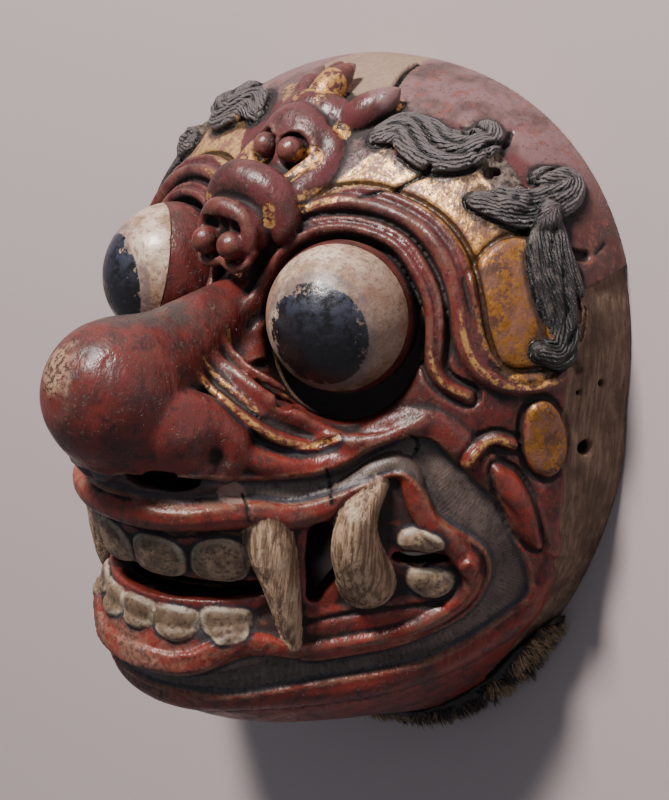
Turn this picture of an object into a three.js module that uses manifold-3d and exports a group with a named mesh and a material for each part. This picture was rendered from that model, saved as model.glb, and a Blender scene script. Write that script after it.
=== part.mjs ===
// A carved and painted wooden demon mask: bulging eyes, a long round-tipped nose, a fanged open
// mouth, a scrolled crest on the brow and a strip of haired hide under the jaw.
// Millimetres. The mask lies on its rear rim: +Z comes out of the face, +Y runs up to the crown
// and +X is the mask's own left.

import * as THREE from 'three';
import { mergeVertices } from 'three/addons/utils/BufferGeometryUtils.js';
import Module from 'manifold-3d';

const wasm = await Module();
wasm.setup();

// The skull: a shallow egg, wider towards the crown, its far side slightly narrower
const RIM_HALF_WIDTH = 106;
const RIM_FLARE = 0.14; // half width gained for each mm towards the crown
const FAR_TAPER = 0.1; // and lost again on the mask's own right, above the middle
const CROWN = 122.5;
const JAW = 112;
const RIM_POWER = 2.2;
const SKULL_DEPTH = 85;
const WALL = 10;
const OUTSIDE_FACETS = [36, 11]; // round the face and from rim to top
const INSIDE_FACETS = [20, 7];
const CUT_BELOW = -4; // the hollow's cutter runs on past the rim

// The muzzle, which carries the mouth: its midline as [y, z] stops, a round front and straight cheeks
const MUZZLE_LINE = [
  [-112, -20], [-108, 51], [-103, 81], [-95, 101], [-85, 111], [-70, 113],
  [-43, 117], [-20, 124], [0, 114], [14, 93], [28, 64], [42, 20],
];
const CHIN_SLOPE = 12;
const BROW_SLOPE = -4;
const FRONT_RADIUS = 42;
const CHEEK_ANGLE = 50; // degrees back from the front
const MUZZLE_WALL = 14;
const EDGE_SCALE = 95;
const EDGE_SOFT = 12;

// The swellings that carry lip and nose
const LIP_SWELL = { at: [0, -7, 110], size: [30, 15, 27] };
const NOSE_FOOT = { at: [0, 8, 88], size: [36, 20, 24] };
const SOFT_JOIN = 14;
const FIRM_JOIN = 10;

// The eyes
const EYE_RADIUS = 25;
const EYE = new THREE.Vector3(42, 43, 71); // the left one; the right mirrors it
const SLIT_WIDTH = 4.5;

// The strip of haired hide along the lower rim
const HIDE_THICKNESS = 5.5;
const HIDE_GAP = 0.5;
const HIDE_LOW = 1;
const HIDE_HIGH = 17;
const HIDE_HALF_ANGLE = 57; // degrees each side of straight down
const HIDE_STEPS = 20;

const degrees = THREE.MathUtils.degToRad;
const vector = (x, y, z) => new THREE.Vector3(x, y, z);

// Smooth union and smooth intersection of two fields that are negative inside
function join(a, b, reach) {
  const h = THREE.MathUtils.clamp(0.5 + (0.5 * (b - a)) / reach, 0, 1);
  return b * (1 - h) + a * h - reach * h * (1 - h);
}

const meet = (a, b, reach) => -join(-a, -b, reach);

// How far out (x, y) lies on the outline of the rim: 1 on the outline itself
function rimShare(x, y, inset) {
  const taper = x < 0 && y > 0 ? FAR_TAPER * y : 0;
  const wide = RIM_HALF_WIDTH + RIM_FLARE * y - taper - inset;
  const tall = (y > 0 ? CROWN : JAW) - inset;
  return (Math.abs(x / wide) ** RIM_POWER + Math.abs(y / tall) ** RIM_POWER) ** (1 / RIM_POWER);
}

function skull(x, y, z, inset) {
  const q = Math.hypot(rimShare(x, y, inset), z / (SKULL_DEPTH - inset));
  return ((q - 1) * Math.hypot(x, y, z)) / Math.max(q, 0.01);
}

// Height of the muzzle's midline: a smooth curve through its stops
function muzzleHeight(y) {
  const last = MUZZLE_LINE.length - 1;
  if (y <= MUZZLE_LINE[0][0]) return MUZZLE_LINE[0][1] + (y - MUZZLE_LINE[0][0]) * CHIN_SLOPE;
  if (y >= MUZZLE_LINE[last][0]) return MUZZLE_LINE[last][1] + (y - MUZZLE_LINE[last][0]) * BROW_SLOPE;
  const i = MUZZLE_LINE.findIndex(([stop]) => stop > y) - 1;
  const rise = (a, b) => (MUZZLE_LINE[b][1] - MUZZLE_LINE[a][1]) / (MUZZLE_LINE[b][0] - MUZZLE_LINE[a][0]);
  const slope = (k) => (rise(Math.max(k - 1, 0), k || 1) + rise(Math.min(k, last - 1), Math.min(k + 1, last))) / 2;
  const gap = MUZZLE_LINE[i + 1][0] - MUZZLE_LINE[i][0];
  const t = (y - MUZZLE_LINE[i][0]) / gap;
  return (
    MUZZLE_LINE[i][1] * (2 * t ** 3 - 3 * t ** 2 + 1) + slope(i) * gap * (t ** 3 - 2 * t ** 2 + t)
    + MUZZLE_LINE[i + 1][1] * (3 * t ** 2 - 2 * t ** 3) + slope(i + 1) * gap * (t ** 3 - t ** 2)
  );
}

// How far the muzzle falls back from its midline, x mm to the side
function fallBack(x) {
  const lean = degrees(CHEEK_ANGLE);
  const turn = FRONT_RADIUS * Math.sin(lean);
  if (Math.abs(x) < turn) return FRONT_RADIUS - Math.sqrt(FRONT_RADIUS ** 2 - x ** 2);
  return FRONT_RADIUS * (1 - Math.cos(lean)) + Math.tan(lean) * (Math.abs(x) - turn);
}

function muzzle(x, y, z, inset) {
  const height = muzzleHeight(y) - fallBack(x);
  const slopeY = muzzleHeight(y + 0.5) - muzzleHeight(y - 0.5);
  const slopeX = fallBack(x + 0.5) - fallBack(x - 0.5);
  const wedge = (z - height) / Math.hypot(1, slopeX, slopeY) + inset;
  return meet(wedge, (rimShare(x, y, inset) - 1) * EDGE_SCALE, EDGE_SOFT);
}

function swell({ at, size }, x, y, z) {
  const q = Math.hypot((x - at[0]) / size[0], (y - at[1]) / size[1], (z - at[2]) / size[2]);
  return (q - 1) * Math.min(...size);
}

// The plain block of the face, before any carving
function face(x, y, z) {
  const block = join(skull(x, y, z, 0), muzzle(x, y, z, 0), SOFT_JOIN);
  const lip = join(block, swell(LIP_SWELL, x, y, z), FIRM_JOIN);
  return join(lip, swell(NOSE_FOOT, x, y, z), FIRM_JOIN);
}

// The wearer's hollow
function hollow(x, y, z) {
  return join(skull(x, y, z, WALL), muzzle(x, y, z, MUZZLE_WALL), SOFT_JOIN);
}

// Distance from the origin along a direction to the outside of a field
function reachOf(direction, field) {
  const inside = (r) => field(direction.x * r, direction.y * r, direction.z * r) < 0;
  let far = 200;
  while (!inside(far) && far > 1) far -= 2;
  let near = far;
  far += 2;
  for (let i = 0; i < 24; i += 1) {
    const middle = (near + far) / 2;
    if (inside(middle)) near = middle;
    else far = middle;
  }
  return (near + far) / 2;
}

// The point of the face straight above (x, y)
function onFace(x, y) {
  let high = 170;
  while (face(x, y, high) > 0 && high > 0) high -= 1.5;
  let low = high;
  high += 1.5;
  for (let i = 0; i < 20; i += 1) {
    const middle = (low + high) / 2;
    if (face(x, y, middle) < 0) low = middle;
    else high = middle;
  }
  return vector(x, y, (low + high) / 2);
}

// The outward normal of the face near a point
function outward(p) {
  const h = 0.5;
  return vector(
    face(p.x + h, p.y, p.z) - face(p.x - h, p.y, p.z),
    face(p.x, p.y + h, p.z) - face(p.x, p.y - h, p.z),
    face(p.x, p.y, p.z + h) - face(p.x, p.y, p.z - h),
  ).normalize();
}

// A place d mm above the face over (x, y)
function above(x, y, d) {
  const foot = onFace(x, y);
  return foot.clone().addScaledVector(outward(foot), d);
}

// The point of the face that is s mm from the eye's centre, at an angle seen from the front
function aroundEye(angle, s) {
  const at = (r) => onFace(EYE.x + r * Math.cos(degrees(angle)), EYE.y + r * Math.sin(degrees(angle)));
  let near = 0;
  let far = s;
  for (let i = 0; i < 18; i += 1) {
    const middle = (near + far) / 2;
    if (at(middle).distanceTo(EYE) < s) near = middle;
    else far = middle;
  }
  return at((near + far) / 2);
}

// A closed body from a stack of rings of equal count, with a point closing each end
function ringBody(rings, first, last) {
  const count = rings[0].length;
  const points = [first, ...rings.flat(), last];
  const index = [];
  const at = (ring, i) => 1 + ring * count + (i % count);
  for (let i = 0; i < count; i += 1) {
    index.push(0, at(0, i + 1), at(0, i));
    index.push(points.length - 1, at(rings.length - 1, i), at(rings.length - 1, i + 1));
  }
  for (let ring = 0; ring + 1 < rings.length; ring += 1) {
    for (let i = 0; i < count; i += 1) {
      index.push(at(ring, i), at(ring, i + 1), at(ring + 1, i + 1));
      index.push(at(ring, i), at(ring + 1, i + 1), at(ring + 1, i));
    }
  }
  const geometry = new THREE.BufferGeometry().setFromPoints(points);
  geometry.setIndex(index);
  return geometry;
}

// A three.js geometry as a solid for cutting and joining
function solid(geometry) {
  const bare = geometry.clone();
  bare.deleteAttribute('normal');
  bare.deleteAttribute('uv');
  const merged = mergeVertices(bare, 1e-4);
  const mesh = new wasm.Mesh({
    numProp: 3,
    vertProperties: new Float32Array(merged.attributes.position.array),
    triVerts: new Uint32Array(merged.index.array),
  });
  const body = new wasm.Manifold(mesh);
  if (body.volume() > 0) return body;
  for (let i = 0; i < merged.index.count; i += 3) {
    const a = merged.index.getX(i);
    merged.index.setX(i, merged.index.getX(i + 1));
    merged.index.setX(i + 1, a);
  }
  return new wasm.Manifold(new wasm.Mesh({
    numProp: 3,
    vertProperties: new Float32Array(merged.attributes.position.array),
    triVerts: new Uint32Array(merged.index.array),
  }));
}

// A value that runs through a list of stops as t goes from 0 to 1
function along(stops, t) {
  const place = t * (stops.length - 1);
  const i = Math.min(Math.floor(place), stops.length - 2);
  return THREE.MathUtils.lerp(stops[i], stops[i + 1], place - i);
}

// A rounded bar along a smooth route: `wide` and `high` are its half sizes at stops along the way,
// and `phase` turns its section, so that 0 puts a corner on top
function bar(route, { wide, high = wide, sides = 8, steps = 10, phase = 0.5, up = () => vector(0, 0, 1) }) {
  const curve = new THREE.CatmullRomCurve3(route, false, 'centripetal');
  const rings = [];
  for (let i = 0; i <= steps; i += 1) {
    const t = (i + 0.35) / (steps + 0.7);
    const centre = curve.getPointAt(t);
    const ahead = curve.getTangentAt(t);
    const top = up(centre);
    const side = ahead.clone().cross(top).normalize();
    const rise = side.clone().cross(ahead).normalize();
    const end = Math.min(t, 1 - t);
    const round = Math.sqrt(Math.min(1, end * steps * 0.9));
    const ring = [];
    for (let k = 0; k < sides; k += 1) {
      const turn = (2 * Math.PI * (k + phase)) / sides;
      ring.push(centre.clone()
        .addScaledVector(side, Math.cos(turn) * along(wide, t) * round)
        .addScaledVector(rise, Math.sin(turn) * along(high, t) * round));
    }
    rings.push(ring);
  }
  return solid(ringBody(rings, curve.getPointAt(0), curve.getPointAt(1)));
}

// A ridge carved on the face along a route of [x, y] places or ready points
function ridge(places, { width, height, steps = 12, sides = 4 }) {
  const route = places.map((place) => (Array.isArray(place) ? onFace(...place) : place.clone()));
  return bar(route, {
    wide: width.map((w) => w / 2),
    high: height,
    sides,
    steps,
    phase: 0,
    up: outward,
  });
}

// The same ridge on both halves of the face
function ridges(places, shape) {
  return [ridge(places, shape), ridge(places.map(([x, y]) => [-x, y]), shape)];
}

// An egg-shaped lump
function lump(at, size, detail = 1) {
  const geometry = new THREE.IcosahedronGeometry(1, detail);
  geometry.scale(...size);
  geometry.translate(...at);
  return solid(geometry);
}

// A body and its mirror image across the middle of the face
const both = (body) => [body, body.mirror([1, 0, 0])];

// A dome of rings about +Z following a field, closed flat at the height `floor`
function domeOf(field, segments, levels, floor) {
  const rings = [];
  const ringAt = (polar) => {
    const ring = [];
    for (let i = 0; i < segments; i += 1) {
      const turn = (2 * Math.PI * (i + 0.5)) / segments;
      const way = vector(
        Math.sin(polar) * Math.cos(turn),
        Math.sin(polar) * Math.sin(turn),
        Math.cos(polar),
      );
      ring.push(way.multiplyScalar(reachOf(way, field)));
    }
    return ring;
  };
  for (let level = 1; level <= levels; level += 1) {
    rings.push(ringAt((Math.PI / 2) * (level / levels) ** 0.92));
  }
  if (floor < 0) rings.push(rings.at(-1).map((p) => vector(p.x, p.y, floor)));
  const top = vector(0, 0, reachOf(vector(0, 0, 1), field));
  return solid(ringBody(rings, top, vector(0, 0, floor)));
}

// Carved parts. Each function returns a list of solids.

function eyes() {
  const ball = new THREE.IcosahedronGeometry(EYE_RADIUS, 3);
  ball.translate(EYE.x, EYE.y, EYE.z);
  return both(solid(ball));
}

// Brow ridges: arcs about the eye that open out towards the cheek and curl back at the nose
function browRidges() {
  const outer = [
    [1, 53], [7, 62], [13, 68], [20, 73], [30, 77], [42, 78], [55, 75], [64, 70], [71, 62], [76, 52],
    [80, 41], [84, 33], [90, 28], [100, 29],
  ];
  const inner = [
    [8, 32], [10, 46], [13, 55], [18, 62], [26, 67], [36, 70], [46, 70], [55, 66], [62, 61], [68, 53],
    [71, 43], [75, 31], [81, 25],
  ];
  return [
    ...ridges(outer, { width: [7, 10, 10, 9, 7, 6], height: [4, 5, 5, 4, 3], steps: 11 }),
    ...ridges(inner, { width: [4, 6, 6, 6, 6, 4], height: [3, 4, 4, 4, 4, 3], steps: 9 }),
  ];
}

// Folds that sweep off the nose and across the cheek
function cheekFolds() {
  const lid = [[10, 27], [19, 25], [27, 22], [34, 18], [43, 13], [56, 9], [66, 14]];
  const upper = [[14, 20], [24, 16], [32, 10], [38, 5], [46, 3], [56, 4]];
  const edge = [[44, 0], [54, 1], [62, 8], [72, 12], [81, 8], [88, 0], [96, -9]];
  return [
    ...ridges(lid, { width: [5, 8, 8, 7, 4], height: [3, 4, 4, 3], steps: 7 }),
    ...ridges(upper, { width: [5, 8, 9, 8, 5], height: [3, 5, 5, 4, 2], steps: 6 }),
    ...ridges(edge, { width: [5, 8, 8, 7, 4], height: [2, 4, 4, 3, 2], steps: 8 }),
  ];
}

function nose() {
  const bridge = bar([
    vector(0, 36, 62), vector(0, 32, 88), vector(0, 25, 110), vector(0, 18, 134),
  ], { wide: [7, 11, 18, 20], high: [11, 16, 21, 22], sides: 10, steps: 4, up: () => vector(0, 1, 0) });
  const bulb = lump([0, 17.5, 130], [22, 25, 24.5], 2);
  const wing = bar([
    vector(13, 8, 134), vector(20, 13, 131), vector(27, 12, 121), vector(32, 5, 110),
    vector(32, -3, 106), vector(25, -9, 110),
  ], { wide: [6, 8, 8, 7.5, 6, 3], sides: 7, steps: 6 });
  return [bridge, bulb, ...both(wing)];
}

function nostrils() {
  return both(lump([17, -4, 124], [7, 6, 11]));
}

// The lip roll runs all round the mouth and peaks above each lower tusk
function lips() {
  const upper = [
    [0, -23], [20, -22], [35, -20], [46, -20], [54, -15], [60, -5], [66, 0], [72, -4], [77, -13],
    [82, -22], [86, -31],
  ];
  const lower = [
    [86, -31], [85, -40], [78, -50], [67, -58], [56, -62], [45, -65], [30, -69], [15, -71], [0, -72],
  ];
  const across = (route) => [...route.slice().reverse(), ...route].reduce((all, [x, y], i) => {
    const side = i < route.length ? [-x, y] : [x, y];
    return x === 0 && i >= route.length ? all : [...all, side];
  }, []);
  const shape = { width: [6, 7, 7, 8, 8, 8, 7, 7, 6], height: [4, 4, 5, 5, 6, 5, 5, 4, 4], steps: 20 };
  const full = { width: [6, 10, 12, 14, 16, 14, 12, 10, 6], height: [4, 5, 5, 4, 4, 4, 5, 5, 4], steps: 14 };
  return [ridge(across(upper), shape), ridge(across(lower.slice().reverse()), full)];
}

function teeth() {
  const tooth = (x, y, size) => {
    const seat = above(x, y, -1);
    return x === 0 ? [lump(seat.toArray(), size)] : both(lump(seat.toArray(), size));
  };
  return [
    ...[10.6, 29.5].flatMap((x) => tooth(x, -37, [12, 7.5, 7])),
    ...[0, 15, 29].flatMap((x) => tooth(x, -59, [9, 6.2, 6.5])),
    ...tooth(74, -26, [6.5, 4.5, 6.5]),
    ...tooth(76, -39, [6.5, 5.5, 6.5]),
  ];
}

// Upper fangs that hang outside the lower lip, and lower tusks that stand up to the upper one
function tusks() {
  const fang = bar([above(41, -26, 0), above(41, -37, 3), above(42, -50, 6), above(43, -64, 6)], {
    wide: [7, 6.5, 5, 2], steps: 4, sides: 7,
  });
  const tusk = bar([above(61, -50, 0), above(60, -38, 3), above(60, -22, 5), above(64, -8, 3)], {
    wide: [8, 7.5, 6, 2], steps: 4, sides: 7,
  });
  return [...both(fang), ...both(tusk)];
}

// The crest on the brow: two stacked scrolls under arched hoods, and three leaves behind
function crest() {
  const ballLow = lump([6.2, 62.5, 88], [5.5, 5.5, 7]);
  const ballHigh = lump([6, 92, 66], [5, 5, 6]);
  const hoodSmall = bar([
    vector(-12, 60, 80), vector(-9, 70, 86), vector(0, 74, 88), vector(9, 70, 86), vector(12, 60, 80),
  ], { wide: [3, 3.5, 3.5, 3], steps: 5, sides: 5 });
  const hoodLow = bar([
    vector(-17, 65, 72), vector(-13, 77, 76), vector(0, 82, 78), vector(13, 77, 76), vector(17, 65, 72),
  ], { wide: [6, 7, 8, 7, 6], steps: 6, sides: 6 });
  const scroll = bar([
    vector(7, 77, 71), vector(16, 80, 67), vector(20, 89, 59), vector(16, 99, 53), vector(8, 102, 54),
  ], { wide: [5, 6, 6.5, 5.5, 4], steps: 6, sides: 5 });
  const hoodHigh = bar([
    vector(-21, 93, 49), vector(-15, 103, 48), vector(0, 107, 48), vector(15, 103, 48), vector(21, 93, 49),
  ], { wide: [5, 7, 8, 7, 5], steps: 6, sides: 6 });
  const middleLeaf = bar([vector(0, 103, 47), vector(0, 110, 37), vector(0, 115, 25)], {
    wide: [7, 7, 2], steps: 4, sides: 6,
  });
  const sideLeaf = bar([vector(13, 100, 45), vector(19, 105, 38), vector(25, 111, 29)], {
    wide: [7, 8, 2], steps: 4, sides: 6,
  });
  return [
    ...both(ballLow), ...both(ballHigh), hoodSmall, hoodLow, ...both(scroll), hoodHigh, middleLeaf,
    ...both(sideLeaf), lump([0, 67, 74], [13, 13, 14]), lump([0, 90, 56], [15, 15, 12]),
  ];
}

// Locks of hair at the hairline, and the lobes between temple and jaw
function temples() {
  const locks = [
    { route: [[36, 99], [45, 96], [56, 93], [62, 97]], width: [8, 14, 13, 7], height: [2, 5, 5, 2] },
    { route: [[62, 92], [70, 89], [77, 83], [81, 78]], width: [7, 12, 12, 7], height: [2, 5, 5, 2] },
    { route: [[85, 76], [88, 68], [94, 58], [98, 48], [100, 41]], width: [7, 11, 13, 14, 7], height: [3, 6, 6, 6, 3] },
  ];
  const lobes = [
    { route: [[83, 66], [89, 57], [93, 47], [95, 37], [93, 31]], width: [12, 20, 18, 12], height: [2, 4, 4, 2] },
    { route: [[96, 22], [99, 12], [99, 1]], width: [7, 13, 7], height: [2, 5, 2] },
    { route: [[93, 0], [98, -10], [99, -20], [98, -29]], width: [6, 11, 8, 4], height: [2, 4, 4, 2] },
  ];
  return [...locks, ...lobes].flatMap(({ route, width, height }) => (
    ridges(route, { width, height, steps: 4 })
  ));
}

// The mouth opens between the rows of teeth and beside each fang
function mouthCuts() {
  const places = [[-35, -46], [-26, -47.5], [-12, -48], [12, -48], [26, -47.5], [35, -46]];
  const gap = bar(places.map(([x, y]) => above(x, y, -14)), {
    wide: [2, 4, 4.5, 4.5, 4, 2], high: [26, 26], steps: 7, sides: 6, up: outward,
  });
  const through = (x, y, wide, high) => {
    const mouth = onFace(x, y);
    const way = vector(0.78, 0, 0.62);
    return bar([mouth.clone().addScaledVector(way, -34), mouth.clone(), mouth.clone().addScaledVector(way, 16)], {
      wide: [high, high], high: [wide, wide], steps: 2, sides: 8, up: () => vector(-0.62, 0, 0.78),
    });
  };
  return [gap, ...both(through(51.5, -36, 6.5, 14)), ...both(through(74.5, -32, 6, 1.8))];
}

// The crescent slit below each eyeball that the wearer looks through
function viewingSlits() {
  const crescent = [215, 240, 265, 290, 315].map((angle) => {
    const place = aroundEye(angle, EYE_RADIUS + SLIT_WIDTH / 2 + 0.5);
    return vector(place.x, place.y, place.z - 8);
  });
  return both(bar(crescent, { wide: [2.2, SLIT_WIDTH / 2, 2.2], high: [20, 20], steps: 5, sides: 6 }));
}

// The cord holes in the bare edge, one each side
function cordHoles() {
  const hole = new THREE.CylinderGeometry(2.6, 2.6, 40, 10);
  hole.rotateZ(Math.PI / 2);
  hole.translate(100, 6, 17);
  return both(solid(hole));
}

const sum = (parts) => parts.reduce((whole, part) => whole.add(part));

function carveMask() {
  const block = domeOf(face, ...OUTSIDE_FACETS, 0);
  const cavity = domeOf(hollow, ...INSIDE_FACETS, CUT_BELOW);
  const carved = sum([
    block, ...eyes(), ...browRidges(), ...cheekFolds(), ...nose(), ...lips(), ...teeth(), ...crest(),
    ...temples(),
  ]);
  const opened = [cavity, ...mouthCuts(), ...viewingSlits(), ...nostrils(), ...cordHoles()]
    .reduce((whole, cut) => whole.subtract(cut), carved);
  // Chips that the cuts leave loose fall away
  const bodies = sum([opened, ...tusks()]).decompose();
  return bodies.reduce((best, body) => (body.volume() > best.volume() ? body : best));
}

// The hide strip follows the outside of the rim under the jaw
function hideStrip() {
  const rings = [];
  for (let i = 0; i <= HIDE_STEPS; i += 1) {
    const angle = degrees(-90 - HIDE_HALF_ANGLE + (2 * HIDE_HALF_ANGLE * i) / HIDE_STEPS);
    const way = vector(Math.cos(angle), Math.sin(angle), 0);
    const section = [
      [HIDE_LOW, HIDE_GAP], [HIDE_LOW, HIDE_GAP + HIDE_THICKNESS * 0.8],
      [(HIDE_LOW + HIDE_HIGH) / 2, HIDE_GAP + HIDE_THICKNESS], [HIDE_HIGH, HIDE_GAP + HIDE_THICKNESS * 0.6],
      [HIDE_HIGH, HIDE_GAP],
    ];
    rings.push(section.map(([z, proud]) => {
      const r = reachOf(vector(way.x, way.y, 0), (x, y) => face(x, y, z)) + proud;
      return vector(way.x * r, way.y * r, z);
    }));
  }
  const middle = (ring) => ring.reduce((s, p) => s.add(p), vector(0, 0, 0)).divideScalar(ring.length);
  return solid(ringBody(rings, middle(rings[0]), middle(rings.at(-1))));
}

function meshOf(name, body, colour, roughness, metalness) {
  const { vertProperties, triVerts } = body.getMesh();
  const geometry = new THREE.BufferGeometry();
  geometry.setAttribute('position', new THREE.BufferAttribute(new Float32Array(vertProperties), 3));
  geometry.setIndex(new THREE.BufferAttribute(new Uint32Array(triVerts), 1));
  geometry.computeVertexNormals();
  const mesh = new THREE.Mesh(geometry, new THREE.MeshStandardMaterial({ color: colour, roughness, metalness }));
  mesh.name = name;
  return mesh;
}

const demonMask = new THREE.Group();
demonMask.add(meshOf('mask', carveMask(), 0x7a2a22, 0.45, 0));
demonMask.add(meshOf('hide_strip', hideStrip(), 0x3a2c22, 0.9, 0));

// The frame's origin is the middle of the whole object's footprint
const whole = new THREE.Box3().setFromObject(demonMask);
const middle = whole.getCenter(new THREE.Vector3());
demonMask.position.set(-middle.x, -middle.y, -whole.min.z);

export default demonMask;
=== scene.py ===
"""Carved and painted wooden demon mask with a strip of haired hide, lying on its rear rim.

The carving is worked out as a field on a grid of points, one half of the face at a time: the
field is below zero inside the wood. A plain block comes first, then every ridge, groove, roll
and tooth is laid on or cut from it. The colours follow from how far each point of the finished
surface is from the same lines.
"""

import math

import bmesh
import bpy
import numpy as np
import openvdb
from mathutils import Matrix, Vector


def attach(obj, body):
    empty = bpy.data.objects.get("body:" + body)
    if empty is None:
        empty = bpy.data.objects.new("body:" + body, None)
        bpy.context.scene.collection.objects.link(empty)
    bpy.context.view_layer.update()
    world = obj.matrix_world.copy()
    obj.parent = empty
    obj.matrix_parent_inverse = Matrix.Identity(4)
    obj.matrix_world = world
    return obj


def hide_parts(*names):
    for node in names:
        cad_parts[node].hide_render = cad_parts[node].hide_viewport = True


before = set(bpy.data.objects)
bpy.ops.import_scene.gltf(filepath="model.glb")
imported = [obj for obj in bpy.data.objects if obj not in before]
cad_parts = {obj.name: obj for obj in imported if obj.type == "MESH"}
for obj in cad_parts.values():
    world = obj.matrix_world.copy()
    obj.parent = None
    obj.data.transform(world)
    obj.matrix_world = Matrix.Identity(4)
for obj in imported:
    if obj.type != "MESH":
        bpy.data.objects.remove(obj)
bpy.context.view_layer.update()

# All carving is in mm, with u to the side of the middle line, y up to the crown, z out of the face
MM = 0.001
GRID = 0.9
MASK_TRIANGLES = 196000
FRAME_SHIFT = np.array([-0.415, -1.468, 0.0])  # the frame's middle, seen from the carving's

# The plain block: the same sizes as the solid
RIM_HALF_WIDTH = 106.0
RIM_FLARE = 0.14
FAR_TAPER = 0.1
CROWN = 122.5
JAW = 112.0
RIM_POWER = 2.2
SKULL_DEPTH = 85.0
WALL = 10.0
MUZZLE_LINE = np.array([
    (-112, -20), (-108, 51), (-103, 81), (-95, 101), (-85, 111), (-70, 113), (-43, 117), (-20, 124),
    (0, 114), (14, 93), (28, 64), (42, 20),
], float)
CHIN_SLOPE = 12.0
BROW_SLOPE = -4.0
FRONT_RADIUS = 42.0
CHEEK_ANGLE = math.radians(50)
MUZZLE_WALL = 14.0
EDGE_SCALE = 95.0
EDGE_SOFT = 12.0
LIP_SWELL = ((0, -7, 110), (30, 15, 27))
NOSE_FOOT = ((0, 8, 88), (36, 20, 24))
SOFT_JOIN = 14.0
FIRM_JOIN = 10.0

# The eyes: where the white ends and where the iris looks
EYE = np.array([42.0, 43.0, 71.0])
EYE_RADIUS = 25.0
WHITE_AXIS = (0.475, 0.12, 0.872)
WHITE_HALF_ANGLE = math.radians(72)
GAZE = (0.35, -0.15, 0.925)
IRIS_HALF_ANGLE = math.radians(43)

SKIN = 6.0  # how far from the surface the shallow carving reaches
CLEAR_OF_LINE = (7.0, 11.0)  # a line fades out over these heights above the plain block


# Fields

def smin(a, b, reach):
    """The lower of two fields, rounded where they meet."""
    h = np.clip(0.5 + 0.5 * (b - a) / reach, 0, 1)
    return b + (a - b) * h - reach * h * (1 - h)


def smax(a, b, reach):
    """The higher of two fields, rounded where they meet."""
    return -smin(-a, -b, reach)


def smooth(x, low, high):
    """0 below low, 1 above high, an S between."""
    t = np.clip((x - low) / (high - low), 0, 1)
    return t * t * (3 - 2 * t)


def bump(x):
    """1 at the middle, 0 at 1 and beyond, with a rounded top and soft feet."""
    t = np.clip(1 - x * x, 0, 1)
    return t * np.sqrt(t)


def dome(x):
    """Nearly a half circle: 1 at the middle, 0 at 1 and beyond."""
    return np.clip(1 - x * x, 0, 1) ** 0.65


def rim_share(u, y, inset):
    """How far out a point lies on the rim's outline, a soft-cornered egg: 1 on the outline."""
    wide = RIM_HALF_WIDTH + RIM_FLARE * y - inset
    tall = np.where(y > 0, CROWN, JAW) - inset
    return (np.abs(u / wide) ** RIM_POWER + np.abs(y / tall) ** RIM_POWER) ** (1 / RIM_POWER)


def skull(u, y, z, inset=0.0):
    """A shallow dome over the rim's outline."""
    q = np.sqrt(rim_share(u, y, inset) ** 2 + (z / (SKULL_DEPTH - inset)) ** 2)
    return (q - 1) * np.sqrt(u * u + y * y + z * z) / np.maximum(q, 0.01)


def muzzle_height(y):
    """Height of the muzzle's middle line: a smooth curve through its stops."""
    ys, zs = MUZZLE_LINE.T
    slopes = np.gradient(zs, ys)
    i = np.clip(np.searchsorted(ys, y) - 1, 0, len(ys) - 2)
    gap = ys[i + 1] - ys[i]
    t = np.clip((y - ys[i]) / gap, 0, 1)
    beyond = np.minimum(y - ys[0], 0) * CHIN_SLOPE + np.maximum(y - ys[-1], 0) * BROW_SLOPE
    return (
        beyond + zs[i] * (2 * t ** 3 - 3 * t ** 2 + 1) + slopes[i] * gap * (t ** 3 - 2 * t ** 2 + t)
        + zs[i + 1] * (3 * t ** 2 - 2 * t ** 3) + slopes[i + 1] * gap * (t ** 3 - t ** 2)
    )


def muzzle(u, y, z, inset=0.0):
    """The middle line's height, falling back in a round front and straight cheeks."""
    turn = FRONT_RADIUS * math.sin(CHEEK_ANGLE)
    near = np.minimum(np.abs(u), turn)
    lean = math.tan(CHEEK_ANGLE)
    back = FRONT_RADIUS - np.sqrt(FRONT_RADIUS ** 2 - near ** 2) + lean * np.maximum(np.abs(u) - turn, 0)
    slope_u = np.where(np.abs(u) < turn, near / np.sqrt(FRONT_RADIUS ** 2 - near ** 2), lean)
    slope_y = muzzle_height(y + 0.5) - muzzle_height(y - 0.5)
    wedge = (z - muzzle_height(y) + back) / np.sqrt(1 + slope_u ** 2 + slope_y ** 2) + inset
    return smax(wedge, (rim_share(u, y, inset) - 1) * EDGE_SCALE, EDGE_SOFT)


def swell(u, y, z, at, size):
    """A stretched ball: the distance from its middle in its own half sizes, less 1, times the least."""
    a = [(u - at[0]) / size[0], (y - at[1]) / size[1], (z - at[2]) / size[2]]
    return (np.sqrt(a[0] ** 2 + a[1] ** 2 + a[2] ** 2) - 1) * min(size)


def ovoid(u, y, z, at, size):
    """Distance to an egg, true enough near its skin: the ball's formula over its own slope."""
    d = [u - at[0], y - at[1], z - at[2]]
    k0 = np.sqrt(sum((d[i] / size[i]) ** 2 for i in range(3)))
    k1 = np.sqrt(sum((d[i] / size[i] ** 2) ** 2 for i in range(3)))
    return k0 * (k0 - 1) / np.maximum(k1, 1e-6)


def block(u, y, z):
    """The plain block of the face, before any carving."""
    body = smin(skull(u, y, z), muzzle(u, y, z), SOFT_JOIN)
    body = smin(body, swell(u, y, z, *LIP_SWELL), FIRM_JOIN)
    return smin(body, swell(u, y, z, *NOSE_FOOT), FIRM_JOIN)


def hollow(u, y, z):
    """The wearer's side."""
    return smin(skull(u, y, z, WALL), muzzle(u, y, z, MUZZLE_WALL), SOFT_JOIN)


# Lines on the face

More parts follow.
